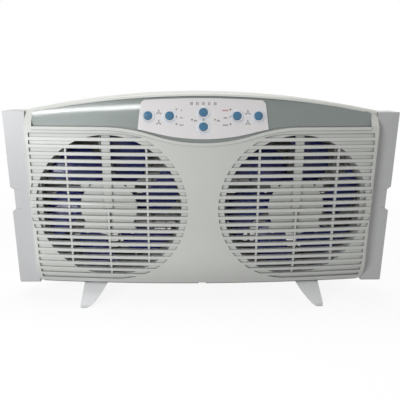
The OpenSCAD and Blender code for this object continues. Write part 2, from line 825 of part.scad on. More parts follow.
// Angle that a blade covers and angle that it leans forward, at a share t of its length.
function blade_span(t) = 36 + 9 * sin(150 * t) - 12 * pow(t, 8);
function blade_lead(t) = 20 * t * t;
function blade_point(i, j, up) = let (
    t = i / blade_steps,
    u = j / chord_steps - 0.5,
    r = hub_r - hub_wall / 2 + t * (blade_r - hub_r + hub_wall / 2),
    a = blade_lead(t) + u * blade_span(t),
    thick = blade_t * (1 - 0.45 * t) * (0.35 + 0.65 * sqrt(max(0, 1 - 4 * u * u))) / 2)
  [r * cos(a), r * sin(a),
   blade_pitch * u * blade_span(t) / 360 + blade_camber * (1 - 4 * u * u) + up * thick];
module blade() {
  n = chord_steps + 1;
  m = blade_steps + 1;
  pts = [for (up = [1, -1], i = [0 : blade_steps], j = [0 : chord_steps]) blade_point(i, j, up)];
  function at(up, i, j) = (up > 0 ? 0 : m * n) + i * n + j;
  function quad(a, b, c, d) = [[a, b, c], [a, c, d]];
  faces = [
    for (i = [0 : blade_steps - 1], j = [0 : chord_steps - 1])
      each quad(at(1, i, j), at(1, i, j + 1), at(1, i + 1, j + 1), at(1, i + 1, j)),
    for (i = [0 : blade_steps - 1], j = [0 : chord_steps - 1])
      each quad(at(-1, i, j), at(-1, i + 1, j), at(-1, i + 1, j + 1), at(-1, i, j + 1)),
    for (i = [0 : blade_steps - 1])
      each concat(quad(at(1, i, 0), at(1, i + 1, 0), at(-1, i + 1, 0), at(-1, i, 0)),
        quad(at(1, i, n - 1), at(-1, i, n - 1), at(-1, i + 1, n - 1), at(1, i + 1, n - 1))),
    for (j = [0 : chord_steps - 1])
      each concat(quad(at(1, 0, j), at(-1, 0, j), at(-1, 0, j + 1), at(1, 0, j + 1)),
        quad(at(1, m - 1, j), at(1, m - 1, j + 1), at(-1, m - 1, j + 1), at(-1, m - 1, j)))
  ];
  polyhedron(points = pts, faces = faces);
}

blade_mid = hub_end - blade_inset;
module fan_blade(s) color(fan_blue) translate([s * fan_x, 0, foot_h + fan_z]) rotate([90, 0, 0]) {
  difference() {
    union() {
      difference() {
        translate([0, 0, -hub_end]) cylinder(r = hub_r, h = hub_end - (seat_y + hub_lead));
        translate([0, 0, -hub_floor]) cylinder(r = hub_r - hub_wall, h = 2 * over + hub_floor);
      }
      translate([0, 0, -boss_end]) cylinder(r = boss_r, h = boss_end - hub_floor + 1);
    }
    cylinder(r = shaft_d / 2 + press, h = 4 * case_d, center = true);
  }
  for (k = [0 : blades - 1]) rotate([0, 0, k * 360 / blades])
    translate([0, 0, -blade_mid]) blade();
}

nut_r = 7;
nut_h = 5.6;
module blade_nut(s) color(fan_blue) side(s) in_case()
  translate([fan_x, boss_end, fan_z]) rotate([-90, 0, 0]) difference() {
    rotate_extrude() polygon([[0, 0], [nut_r, 0], [nut_r, nut_h - 2.6], [nut_r - 1, nut_h - 1],
      [nut_r - 3, nut_h - 0.2], [0, nut_h]]);
    translate([0, 0, -eps]) cylinder(r = shaft_d / 2 + press, h = shaft_y1 - boss_end + 0.1);
  }

// ---- the extenders ----------------------------------------------------------------

end_x = half_w + slide_gap;
end_front = front + end_set_back;
end_back = frame_back + 1;
frame_end = end_x + end_w - wall - 0.1;
rim_w = 8;
head_rail = 10;      // how much deeper the frame's top rail is
rung_pitch = 2 * slat_pitch;
rung_t = 3;
lattice_t = frame_t - 1;
screw_zs = [30, 95, 200];
end_screw_inset = 15;
end_screw_x = half_w + end_screw_inset;
screen_t = 0.6;
runner_h = 2.5;
runner_w = 3.5;

module frame_window() {
  translate([frame_gap + rim_w, rim_w]) 
    square([half_w - rim_w - frame_gap - rim_w, frame_top - 2 * rim_w - head_rail]);
}

module extender_frame(s) color(white) side(s) in_case() difference() {
  union() {
    along_y(frame_front, frame_back) difference() {
      union() {
        translate([frame_gap, -frame_drop]) square([half_w - frame_gap, frame_top + frame_drop]);
        translate([half_w - eps, wall + 0.1]) square([frame_end - half_w, frame_top - wall - 0.1]);
      }
      frame_window();
    }
    along_y(frame_front, frame_front + lattice_t) intersection() {
      translate([frame_gap + 1, 0]) square([half_w - frame_gap - 2, frame_top - 1]);
      union() {
        for (z = [rung_pitch : rung_pitch : frame_top])
          translate([0, z]) square([half_w, rung_t]);
        for (k = [1 : 4]) translate([frame_gap + k * (half_w - frame_gap) / 5, 0])
          square([rung_t, frame_top]);
      }
    }
    // runner that rides on the floor of the casing and stops where that turns up
    translate([frame_gap, frame_back - eps, wall + slide_gap])
      cube([half_w - base_r - extender_travel - frame_gap, runner_w, runner_h]);
  }
  for (z = screw_zs) rod(end_screw_x, z, front, back, screw_r + 0.2);
}

net_x = 14;
net_z = 13;
net_w = 0.8;
module extender_screen(s) color(dark) side(s) in_case() {
  x0 = frame_gap + rim_w + 0.2;
  x1 = half_w - rim_w - 0.2;
  z0 = rim_w + 0.2;
  z1 = frame_top - rim_w - head_rail - 0.2;
  px = (x1 - x0 - 2) / net_x;
  pz = (z1 - z0 - 2) / net_z;
  along_y(frame_front + lattice_t, frame_front + lattice_t + screen_t) difference() {
    translate([x0, z0]) square([x1 - x0, z1 - z0]);
    for (i = [0 : net_x - 1], k = [0 : net_z - 1])
      translate([x0 + 1 + i * px + net_w / 2, z0 + 1 + k * pz + net_w / 2])
        square([px - net_w, pz - net_w]);
  }
}

module grip_outline() {
  x1 = end_x + end_w;
  polygon([[x1 + over, grip_z - grip_h / 2], [x1 + over, grip_z + grip_h / 2],
    [x1, grip_z + grip_h / 2], [x1 - grip_cut, grip_z + grip_h / 2 - grip_cut * 0.8],
    [x1 - grip_cut, grip_z - grip_h / 2 + grip_cut * 0.8], [x1, grip_z - grip_h / 2]]);
}
scoop_w = 9;
scoop_d = 1.5;
sill_h = 2.4;        // the shadow line under an end piece
sill_d = 1.5;
module extender_end(s) color(white) side(s) in_case() {
  x1 = end_x + end_w;
  scoop_r = (scoop_w * scoop_w + scoop_d * scoop_d) / (2 * scoop_d);
  difference() {
    union() {
      difference() {
        translate([end_x, end_front, 0]) cube([end_w, end_back - end_front, end_h]);
        translate([end_x + wall, end_front + wall, wall])
          cube([end_w - 2 * wall, case_d, end_h - 2 * wall]);
        translate([end_x - over, frame_front - 0.1, -over])
          cube([over + wall + eps, case_d, frame_top + 0.3 + over]);
      }
      translate([x1 - grip_w - wall, end_front + eps, grip_z - grip_h / 2 - wall])
        cube([grip_w + wall - eps, grip_d + wall, grip_h + 2 * wall]);
      for (z = screw_zs) rod(end_screw_x, z, end_front + 1, frame_front, 4);
    }
    translate([x1 - grip_w, end_front + wall, grip_z - grip_h / 2])
      cube([grip_w + over, grip_d - wall, grip_h]);
    along_y(end_front - over, end_front + grip_d / 2) grip_outline();
    translate([end_x - over, end_front - over, -over]) cube([end_w + 2 * over, over + sill_d, over + sill_h]);
    translate([x1 - grip_cut, end_front + scoop_d - scoop_r, grip_z - grip_h / 2 + 4])
      cylinder(r = scoop_r, h = grip_h - 8);
    for (z = screw_zs) rod(end_screw_x, z, frame_front - 14, back, screw_r + fit);
  }
}

module extender_screws(s) color(steel) side(s) in_case() for (z = screw_zs) {
  rod(end_screw_x, z, frame_back, frame_back + 1, head_r);
  rod(end_screw_x, z, frame_front - 12, frame_back + eps, screw_r);
}

// ---- the feet, the gland and the long screws -----------------------------------------

foot_web = 9;        // left over the arch between the toes
toe_h = 5;
foot_front_y = 24;   // where the foot's top starts, ahead of and behind the middle
foot_back_y = back - corner_r;
module foot_front() {
  x0 = foot_x - foot_w;
  x1 = foot_x - toe_w;
  bulge = 2.5;
  dx = x1 - x0;
  length = sqrt(dx * dx + foot_h * foot_h);
  polygon(concat(
    [for (i = [0 : 5]) let (t = i / 5, b = 4 * bulge * t * (1 - t))
      [x0 + dx * t - b * foot_h / length, -foot_h * t - b * dx / length]],
    [[foot_x, -foot_h], [foot_x, 0]]));
}
function half_side(top, knee_y) = concat(
  [[top, 0], [knee_y, -foot_h * 0.6], [toe_reach, -foot_h + toe_h], [toe_reach, -foot_h],
   [toe_reach - toe_l, -foot_h]],
  arc(toe_reach - toe_l - 6, -foot_h + 3, 6, 0, 90, 3), [[toe_reach - toe_l - 26, -foot_web]]);
module foot_side() {
  rear = half_side(foot_back_y, toe_reach - 3);
  ahead = half_side(foot_front_y, toe_reach - 9);
  polygon(concat(rear, [for (i = [len(ahead) - 1 : -1 : 0]) [-ahead[i][0], ahead[i][1]]]));
}
module foot(s) color(white) side(s) in_case() {
  difference() {
    intersection() {
      along_y(-toe_reach - over, toe_reach + over) foot_front();
      along_x(foot_x - foot_w - over, foot_x) foot_side();
    }
    translate([0, front_edge - 0.4, -frame_drop - 0.4]) cube([case_w, rear_edge - front_edge + 0.8, over]);
  }
  for (y = bottom_slot_y) translate([foot_mid - clip_w / 2, y, 0]) {
    translate([0, -clip_t / 2, -1]) cube([clip_w, clip_t, wall + 4]);
    translate([0, -clip_t / 2 - 1.2, wall + 0.2]) cube([clip_w, 1.3, 2]);
  }
}

module cord_gland() color(dark) in_case() difference() {
  union() {
    rod(gland_x, gland_z, back - wall - 2, back + 2, gland_r);
    rod(gland_x, gland_z, back, back + 2, gland_r + 2.5);
    rod(gland_x, gland_z, back - wall - 2, back - wall, gland_r + 1);
  }
  rod(gland_x, gland_z, front, back + over, gland_bore);
}

module housing_screws() color(steel) in_case() for (c = columns) {
  rod(c[0], c[1], front_edge + counterbore, front_edge + counterbore + housing_head_h, housing_head_r);
  rod(c[0], c[1], front_edge - shank_l, front_edge + counterbore + eps, shank_r);
}

front_housing();
rear_housing();
trim_band();
control_panel();
control_board();
board_screws();
tact_switches();
indicator_lights();
run_capacitors();
button(0);  // button_power
button(1);  // button_speed
button(2);  // button_temp_up
button(3);  // button_temp_down
button(4);  // button_airflow
button(5);  // button_select
motor(-1);  // motor_left
motor(1);  // motor_right
motor_bushes();
motor_screws();
motor_leads();
motor_shaft(-1);  // motor_shaft_left
motor_shaft(1);  // motor_shaft_right
fan_blade(-1);  // blade_left
fan_blade(1);  // blade_right
blade_nut(-1);  // blade_nut_left
blade_nut(1);  // blade_nut_right
extender_frame(-1);  // extender_frame_left
extender_frame(1);  // extender_frame_right
extender_screen(-1);  // extender_screen_left
extender_screen(1);  // extender_screen_right
extender_end(-1);  // extender_end_left
extender_end(1);  // extender_end_right
extender_screws(-1);  // extender_screws_left
extender_screws(1);  // extender_screws_right
foot(-1);  // foot_left
foot(1);  // foot_right
cord_gland();
housing_screws();
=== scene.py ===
"""Dresses the frame of a twin window fan: rotors, screens, control face, screws and finishes.

Everything is in metres, in the frame's own axes: X along the fan, -Y towards the room, Z up.
"""

import json
import math

import bmesh
import bpy
from bpy.props import FloatProperty, FloatVectorProperty, IntProperty, PointerProperty
from mathutils import Matrix, Vector


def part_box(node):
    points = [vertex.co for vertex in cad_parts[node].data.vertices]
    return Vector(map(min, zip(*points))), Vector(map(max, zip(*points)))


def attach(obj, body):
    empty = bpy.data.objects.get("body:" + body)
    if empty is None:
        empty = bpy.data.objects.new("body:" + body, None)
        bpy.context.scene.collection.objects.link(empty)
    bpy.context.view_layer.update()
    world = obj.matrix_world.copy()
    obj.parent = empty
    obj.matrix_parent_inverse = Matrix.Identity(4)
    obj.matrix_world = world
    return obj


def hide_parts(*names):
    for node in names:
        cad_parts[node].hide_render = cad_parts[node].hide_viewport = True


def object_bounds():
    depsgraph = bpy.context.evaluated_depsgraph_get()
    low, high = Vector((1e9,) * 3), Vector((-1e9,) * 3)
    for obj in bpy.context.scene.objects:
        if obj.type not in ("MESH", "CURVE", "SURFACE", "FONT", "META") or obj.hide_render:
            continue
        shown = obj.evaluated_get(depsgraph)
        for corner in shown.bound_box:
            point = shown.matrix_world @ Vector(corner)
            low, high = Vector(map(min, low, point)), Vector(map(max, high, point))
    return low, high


bl_info = {
    "name": "Twin Window Fan",
    "version": (1, 0, 0),
    "blender": (4, 5, 0),
    "location": "View3D > Sidebar > Window Fan",
    "description": "Dresses the frame of a twin window fan and sets it on a pale stage",
    "category": "Object",
}

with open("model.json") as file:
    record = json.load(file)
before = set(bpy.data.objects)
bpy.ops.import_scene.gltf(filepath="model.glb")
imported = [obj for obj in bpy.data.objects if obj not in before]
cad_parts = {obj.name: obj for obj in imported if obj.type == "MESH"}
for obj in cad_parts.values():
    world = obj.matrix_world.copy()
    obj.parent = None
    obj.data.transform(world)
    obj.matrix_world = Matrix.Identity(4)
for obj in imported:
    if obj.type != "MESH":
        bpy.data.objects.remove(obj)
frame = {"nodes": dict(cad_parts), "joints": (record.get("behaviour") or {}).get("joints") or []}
CAD_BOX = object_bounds()
SIDES = ("left", "right")
QUARTER = math.pi / 2
moved = Matrix.Translation
SAME_SPOT = 1e-6  # vertices nearer to each other than this are one
IN_ROW = 1e-5  # how far a vertex may lie from its row


# ---- sizes and places read from the frame ----


def joint(name):
    """The frame's joint of that name."""
    return next(j for j in frame["joints"] if j["name"] == name)


def solids(node):
    """The lowest and highest corner of each separate solid of a node, from left to right."""
    copy = bmesh.new()
    copy.from_mesh(frame["nodes"][node].data)
    bmesh.ops.remove_doubles(copy, verts=copy.verts, dist=SAME_SPOT)
    left, boxes = set(copy.verts), []
    while left:
        island, edge_of_it = set(), [left.pop()]
        while edge_of_it:
            vert = edge_of_it.pop()
            island.add(vert)
            beside = {e.other_vert(vert) for e in vert.link_edges} & left
            left -= beside
            edge_of_it.extend(beside)
        corners = [[end(v.co[i] for v in island) for i in range(3)] for end in (min, max)]
        boxes.append((Vector(corners[0]), Vector(corners[1])))
    copy.free()
    return sorted(boxes, key=lambda pair: (round(pair[0].x, 4), pair[0].z))


def turned(angle, axis):
    """A turn about an axis."""
    return Matrix.Rotation(angle, 4, axis)


def reach(node, x, z):
    """How far a node reaches from the line along Y through x and z."""
    return max(math.hypot(v.co.x - x, v.co.z - z) for v in frame["nodes"][node].data.vertices)


LEAN = math.atan2(-joint("key_select_press")["axis"][2], joint("key_select_press")["axis"][1])
FAN_X = abs(joint("fan_left_spin")["pos_m"][0])
FAN_Z = joint("fan_left_spin")["pos_m"][2]
BLADE_R = reach("blade_left", -FAN_X, FAN_Z)


# ---- what a user would change ----


def colour(name, description, value):
    """A colour setting."""
    return FloatVectorProperty(
        name=name, description=description, default=value, size=3, min=0, max=1, subtype="COLOR"
    )


def number(name, description, value, **kind):
    """A number setting with its limits, unit or subtype."""
    return FloatProperty(name=name, description=description, default=value, **kind)


def length(name, description, value):
    """A length setting in metres."""
    return number(name, description, value, min=0, unit="LENGTH")


def watts(name, description, value):
    """A lamp's power."""
    return number(name, description, value, min=0, unit="POWER")


class FanFinish(bpy.types.PropertyGroup):
    """Colours of the fan's materials."""

    casing: colour("Casing", "Moulded shells", (0.63, 0.64, 0.60))
    # Darker than the casing's colour: painted shade on the ends
    extender: colour("Extenders", "Sliding ends and their frames", (0.54, 0.54, 0.54))
    # Painted shade: the dark grey coat on the set-back line along the bottom edge
    seam: colour("Seam", "Line along the bottom edge", (0.12, 0.12, 0.12))
    foot: colour("Feet", "Clip-on feet", (0.78, 0.79, 0.79))
    band: colour("Band", "Painted band beside the controls", (0.20, 0.23, 0.215))
    label: colour("Label", "Control panel", (0.78, 0.755, 0.745))
    ring: colour("Rings", "Rings round the buttons", (0.74, 0.81, 0.90))
    button: colour("Buttons", "Button caps", (0.030, 0.165, 0.30))
    ink: colour("Ink", "Printed marks", (0.24, 0.24, 0.25))
    warm_ink: colour("Warm ink", "Warm marks", (0.46, 0.22, 0.20))
    blade: colour("Blades", "Rotors and their nuts", (0.05, 0.062, 0.34))
    motor: colour("Motors", "Motor cans and switches", (0.022, 0.022, 0.025))
    steel: colour("Steel", "Shafts and screws", (0.56, 0.57, 0.59))
    bronze: colour("Bronze", "Sintered bushes", (0.46, 0.30, 0.12))
    board: colour("Board", "Coated circuit board", (0.012, 0.10, 0.042))
    capacitor: colour("Capacitors", "Box capacitors", (0.62, 0.42, 0.07))
    lead: colour("Leads", "Sleeves of the motor leads", (0.46, 0.44, 0.42))
    screen: colour("Screens", "Coated wire of the insect screens", (0.018, 0.018, 0.02))
    rubber: colour("Grommet", "Rubber grommet", (0.03, 0.03, 0.032))
    lens_warm: colour("Warm lens", "Lights of the right-hand row", (0.42, 0.27, 0.20))
    lens_cool: colour("Cool lens", "All other lights", (0.36, 0.38, 0.20))


class FanSizes(bpy.types.PropertyGroup):
    """Sizes of the pieces that are modelled here."""

    blade_thickness: length("Blade", "Thickness of a blade", 0.0017)
    blade_pitch: length("Pitch", "Travel of the blades' helix in one turn", 0.150)
    blade_camber: length("Camber", "Height of the blades' crown", 0.0032)
    blades: IntProperty(name="Blades", description="Blades on each rotor", default=6, min=2, max=9)
    wire: length("Wire", "Thickness of the screens' wire", 0.0004)
    mesh_pitch: length("Mesh", "Pitch of the screens' wires", 0.0016)
    print_proud: length("Print", "How far printed marks stand proud", 0.00005)
    mark: length("Mark", "Height of a printed symbol", 0.0085)
    slot_width: length("Cross slot", "Width of the screws' cross slot", 0.0009)


class FanStage(bpy.types.PropertyGroup):
    """Where the camera stands and how the stage is lit."""

    camera_place: FloatVectorProperty(
        name="Camera", description="Place of the camera", default=(-0.0218, -0.7075, 0.3562),
        size=3, subtype="TRANSLATION",
    )
    camera_down: number("Tilt", "How far the camera looks down", 0.2665, subtype="ANGLE")
    camera_right: number("Turn", "How far the camera turns right", 0.0247, subtype="ANGLE")
    camera_roll: number("Roll", "How far the camera leans over", -0.0048, subtype="ANGLE")
    lens: number("Lens", "Focal length in millimetres", 40.0, min=10, max=200)
    key_watts: watts("Key", "Overhead lamp", 9.0)
    fill_watts: watts("Fill", "Left-hand lamp", 7.2)
    side_watts: watts("Side", "Right-hand lamp", 3.0)
    streak_watts: watts("Streak", "Strip lamp", 1.2)
    ambient: number("Ambient", "Strength of the pale room", 0.22, min=0)
    floor_lift: number("Floor lift", "Light that the floor adds towards the camera", 0.875, min=0)
    floor_bounce: number("Floor bounce", "Light that the floor throws at the fan", 0.2, min=0)


def finish():
    """The colour settings."""
    return bpy.context.scene.window_fan_finish


def sizes():
    """The size settings."""
    return bpy.context.scene.window_fan_sizes


def stage():
    """The stage settings."""
    return bpy.context.scene.window_fan_stage


# ---- node trees ----

# Ranges that are spread over 0 to 1
MID_NOISE = (0.3, 0.7)  # where nearly all values of a noise texture lie
EDGE_TURN = (0.995, 0.85)  # cosine between the flat and the rounded normal
EDGE_BREAKS = (0.35, 0.65)  # noise that breaks up worn edges
FACING_UP = (0.2, 1.0)  # height of a normal on which dust settles
CLOSED_IN = (0.85, 0.35)  # share of the room that a spot sees
CLOUDS = (0.32, 0.68)  # noise of broad patches


def fill(tree, made, values):
    """Sets a node's inputs by name or number, and wires those whose value is a socket."""
    for key, value in values.items():
        if isinstance(value, bpy.types.NodeSocket):
            tree.links.new(value, made.inputs[key])
        else:
            made.inputs[key].default_value = value
    return made


def add(tree, kind, values=None, **settings):
    """A shader node with its inputs and settings."""
    made = tree.nodes.new("ShaderNode" + kind)
    for key, value in settings.items():
        setattr(made, key, value)
    return fill(tree, made, values or {})


def maths(tree, operation, a, b=0.0):
    """One Math node's result."""
    return add(tree, "Math", {0: a, 1: b}, operation=operation, use_clamp=False).outputs[0]


def product(tree, first, *factors):
    """The product of values."""
    for factor in factors:
        first = maths(tree, "MULTIPLY", first, factor)
    return first


def remap(tree, value, low, high, to_low=0.0, to_high=1.0):
    """A value moved from one range to another, and kept inside it."""
    ends = {"Value": value, "From Min": low, "From Max": high, "To Min": to_low, "To Max": to_high}
    return add(tree, "MapRange", ends).outputs["Result"]


def mixed(tree, factor, a, b):
    """Two colours mixed."""
    return add(tree, "Mix", {0: factor, 6: a, 7: b}, data_type="RGBA").outputs[2]


def rgba(value):
    """A colour with full alpha."""
    return (*value[:3], 1.0)


def object_place(tree, scale=(1, 1, 1)):
    """Object coordinates, stretched by scale."""
    place = add(tree, "TexCoord").outputs["Object"]
    return add(tree, "Mapping", {"Vector": place, "Scale": scale}).outputs["Vector"]


def noise(tree, size, detail=2.0, vector=None):
    """Noise whose patches are about size across."""
    values = {"Vector": vector or object_place(tree), "Scale": 1 / size, "Detail": detail}
    return add(tree, "TexNoise", values).outputs["Fac"]


def patchy(tree, size, low=0.0, high=1.0, detail=2.0, vector=None):
    """Noise that goes from low to high."""
    return remap(tree, noise(tree, size, detail, vector), *MID_NOISE, low, high)


def cells(tree, count, **settings):
    """A pattern of cells, so many in a metre."""
    values = {"Vector": object_place(tree), "Scale": count}
    return add(tree, "TexVoronoi", values, **settings).outputs


def bump(tree, height, depth):
    """The normal of a surface that a height lifts by up to depth."""
    return add(tree, "Bump", {"Height": height, "Distance": depth}).outputs["Normal"]


def new_group(name):
    """A shader node group with named inputs, and the outputs that its function gives."""
    make, inputs, outputs = GROUPS[name]
    tree = bpy.data.node_groups.new(name, "ShaderNodeTree")
    socket = tree.interface.new_socket
    for label, value in inputs.items():
        kind = "NodeSocketColor" if isinstance(value, tuple) else "NodeSocketFloat"
        socket(label, in_out="INPUT", socket_type=kind).default_value = value
    for label, kind in outputs.items():
        socket(label, in_out="OUTPUT", socket_type="NodeSocket" + kind)
    given, out = tree.nodes.new("NodeGroupInput"), tree.nodes.new("NodeGroupOutput")
    fill(tree, out, dict(zip(outputs, make(tree, given.outputs))))
    return tree


def use(tree, group, **values):
    """The outputs of a node group with its inputs set."""
    made = add(tree, "Group", node_tree=bpy.data.node_groups.get(group) or new_group(group))
    return fill(tree, made, values).outputs


def moulded_skin(tree, given):
    """Rounds sharp edges in the shading and lays a mould's fine grain over the surface."""
    rounded = add(tree, "Bevel", {"Radius": given["Edge"]}, samples=4).outputs["Normal"]
    where, fineness = object_place(tree), maths(tree, "DIVIDE", 1.0, given["Grain"])
    values = {"Vector": where, "Detail": 1.0, "Scale": fineness}
    grains = add(tree, "TexNoise", values).outputs["Fac"]
    values = {"Height": grains, "Distance": given["Depth"], "Normal": rounded}
    normal = add(tree, "Bump", values).outputs["Normal"]
    patches = maths(tree, "SUBTRACT", noise(tree, 0.03, 4.0, where), 0.5)
    change = product(tree, patches, given["Spread"])
    return normal, maths(tree, "ADD", change, given["Polish"])


def edge_wear(tree, given):
    """A mask of sharp edges, broken up by noise, where handling has polished the colour away."""
    rounded = add(tree, "Bevel", {"Radius": given["Width"]}, samples=4).outputs["Normal"]
    both = {0: rounded, 1: add(tree, "NewGeometry").outputs["Normal"]}
    turn = add(tree, "VectorMath", both, operation="DOT_PRODUCT").outputs["Value"]
    broken = remap(tree, noise(tree, 0.006, 3.0), *EDGE_BREAKS)
    return (product(tree, remap(tree, turn, *EDGE_TURN), broken, given["Amount"]),)


def dust_film(tree, given):
    """A mask of the thin dust that settles on what faces up."""
    normal = add(tree, "NewGeometry").outputs["Normal"]
    up = remap(tree, add(tree, "SeparateXYZ", {0: normal}).outputs["Z"], *FACING_UP)
    return (product(tree, up, patchy(tree, 0.012, detail=5.0), given["Amount"]),)


def crevice_shade(tree, given):
    """A mask of painted shade in narrow gaps and inside corners, darkest where a spot sees little
    of the room.
    """
    values = {"Distance": given["Reach"]}
    open_share = add(tree, "AmbientOcclusion", values, samples=8).outputs["AO"]
    return (product(tree, remap(tree, open_share, *CLOSED_IN), given["Amount"]),)


def tone_drift(tree, given):
    """A colour that drifts a little in broad cloudy patches, as moulded plastic and paint do."""
    fineness = maths(tree, "DIVIDE", 1.0, given["Patch"])
    values = {"Vector": object_place(tree), "Detail": 3.0, "Scale": fineness}
    factor = remap(tree, add(tree, "TexNoise", values).outputs["Fac"], *CLOUDS)
    return (mixed(tree, factor, given["Colour"], given["Other"]),)


GREY = (0.5, 0.5, 0.5, 1.0)
# Each group: its function, its inputs and their values, its outputs and their kinds
GROUPS = {
    "Moulded Skin": (
        moulded_skin,
        {"Edge": 0.0005, "Grain": 0.0006, "Depth": 0.00001, "Polish": 0.4, "Spread": 0.08},
        {"Normal": "Vector", "Roughness": "Float"},
    ),
    "Edge Wear": (edge_wear, {"Width": 0.0008, "Amount": 0.5}, {"Mask": "Float"}),
    "Dust Film": (dust_film, {"Amount": 0.3}, {"Mask": "Float"}),
    "Crevice Shade": (crevice_shade, {"Reach": 0.005, "Amount": 0.6}, {"Mask": "Float"}),
    "Tone Drift": (
        tone_drift, {"Colour": GREY, "Other": GREY, "Patch": 0.08}, {"Colour": "Color"}
    ),
}


# ---- materials ----

DUST = (0.42, 0.40, 0.36, 1.0)
PALER = 0.08  # how much paler a plastic is where it is worn
CREVICE_SHADE_SHARE = 0.2  # share of its colour that is left where shade is painted into crevices


def new_material(make, name, setting, looks, shine):
    """A material with one Principled shader, wired to what a finish gives."""
    made = bpy.data.materials.new(name)
    made.use_nodes = True
    tree = made.node_tree
    given = make(tree, getattr(finish(), setting), **looks)
    wired = dict(zip(("Base Color", "Roughness", "Normal"), given))
    fill(tree, tree.nodes["Principled BSDF"], {**shine, **wired})
    return made


def shaded(value, share):
    """A colour made darker or lighter by a share."""
    return rgba([min(1.0, c * share) for c in value])


def drifting(tree, tint, share, patch=0.08):
    """A colour that drifts to a share of itself and back."""
    ends = {"Colour": rgba(tint), "Other": shaded(tint, share)}
    return use(tree, "Tone Drift", Patch=patch, **ends)["Colour"]


def worn(tree, tone, bare, amount, width=0.0008):
    """A colour with a bare one on its worn edges."""
    return mixed(tree, use(tree, "Edge Wear", Width=width, Amount=amount)["Mask"], tone, bare)


def skin(tree, **looks):
    """Roughness and normal of the moulded skin."""
    made = use(tree, "Moulded Skin", **looks)
    return made["Roughness"], made["Normal"]


# Each finish below gives a colour, a roughness and, where it has one, a normal.


def plastic(tree, tint, drift=0.94, polish=0.42, grain=0.0006, depth=0.00001, edge=0.0005,
            wear=0.25, dust=0.12, grime=0.5):
    """Moulded plastic: drifting tone, worn edges, settled dust, painted shade in crevices and a
    fine grain.
    """
    tone = worn(tree, drifting(tree, tint, drift), shaded([c + PALER for c in tint], 1.0), wear)
    tone = mixed(tree, use(tree, "Dust Film", Amount=dust)["Mask"], tone, DUST)
    # Painted shade: crevices and gaps darkened where little of the room is seen
    crevice_shade_mask = use(tree, "Crevice Shade", Amount=grime)["Mask"]
    tone = mixed(tree, crevice_shade_mask, tone, shaded(tint, CREVICE_SHADE_SHARE))
    return tone, *skin(tree, Edge=edge, Grain=grain, Depth=depth, Polish=polish)


def band_paint(tree, tint, flakes):
    """Satin metallic paint with a fine flake under a clear coat."""
    flake = add(tree, "SeparateColor", {0: cells(tree, flakes)["Color"]}).outputs[0]
    glint = remap(tree, flake, 0.55, 1.0, 0.0, 0.45)
    tone = mixed(tree, glint, drifting(tree, tint, 0.95, 0.12), shaded(tint, 1.5))
    looks = {"Edge": 0.0004, "Grain": 0.0012, "Depth": 0.000006, "Polish": 0.33}
    return tone, *skin(tree, Spread=0.06, **looks)


def button_plastic(tree, tint):
    """Glossy blue caps, a little paler where fingers have rubbed them."""
    tone = worn(tree, drifting(tree, tint, 0.8, 0.02), shaded(tint, 2.2), 0.5, 0.0012)
    return tone, *skin(tree, Edge=0.0006, Grain=0.0005, Depth=0.000004, Polish=0.26)


def blade_plastic(tree, tint):
    """Tinted blue plastic that lets some light through, with flow lines round the hub."""
    flow = patchy(tree, 0.02, detail=3.0, vector=object_place(tree, (1.0, 4.0, 1.0)))
    tone = mixed(tree, flow, rgba(tint), shaded(tint, 0.72))
    tone = worn(tree, tone, shaded(tint, 1.8), 0.6, 0.0009)
    return tone, *skin(tree, Edge=0.0004, Grain=0.0008, Depth=0.000006, Polish=0.24)


def turned_steel(tree, tint, scale):
    """Steel with fine tool marks; the scale squeezes them into rings or lines."""
    marks = noise(tree, 0.004, 4.0, object_place(tree, scale))
    tone = mixed(tree, remap(tree, marks, *MID_NOISE), rgba(tint), shaded(tint, 0.8))
    tone = worn(tree, tone, shaded(tint, 1.3), 0.7, 0.0003)
    return tone, remap(tree, marks, 0.2, 0.8, 0.22, 0.42), bump(tree, marks, 0.00001)


def sintered_bronze(tree, tint, pores):
    """Porous bronze, dark with oil in its pores."""
    depth = cells(tree, pores)["Distance"]
    tone = mixed(tree, remap(tree, depth, 0.1, 0.4), shaded(tint, 0.45), rgba(tint))
    return tone, patchy(tree, 0.002, 0.35, 0.55), bump(tree, depth, 0.00005)


def board_coating(tree, tint, tracks):
    """Green coating over copper tracks that run in straight steps."""
    steps = product(tree, cells(tree, tracks, distance="MANHATTAN")["Distance"], 6.0)
    copper = remap(tree, maths(tree, "PINGPONG", steps, 1.0), 0.55, 0.62)
    tone = mixed(tree, copper, rgba(tint), shaded(tint, 2.2))
    return tone, patchy(tree, 0.004, 0.3, 0.42), bump(tree, copper, 0.00004)


def sleeve(tree, tint, threads):
    """Woven sleeving of the motor leads."""
    values = {"Vector": object_place(tree), "Scale": threads, "Distortion": 1.5, "Detail": 1.0}
    weave = add(tree, "TexWave", values, bands_direction="DIAGONAL").outputs["Fac"]
    tone = mixed(tree, weave, shaded(tint, 0.7), rgba(tint))
    return tone, remap(tree, weave, 0.0, 1.0, 0.75, 0.6), bump(tree, weave, 0.0001)


def printed(tree, tint):
    """Screen-printed ink, thinner in places."""
    thin = remap(tree, noise(tree, 0.0006, 3.0), 0.35, 0.7, 0.0, 0.35)
    tone = mixed(tree, thin, rgba(tint), rgba(finish().label))
    return tone, patchy(tree, 0.002, 0.45, 0.6)


def lens(tree, tint):
    """Tinted clear plastic of a light that is off."""
    tone = mixed(tree, patchy(tree, 0.001), rgba(tint), shaded(tint, 0.8))
    return tone, patchy(tree, 0.003, 0.12, 0.2)


METAL = {"Metallic": 1.0}
CLEAR = {"Transmission Weight": 0.35, "IOR": 1.49}
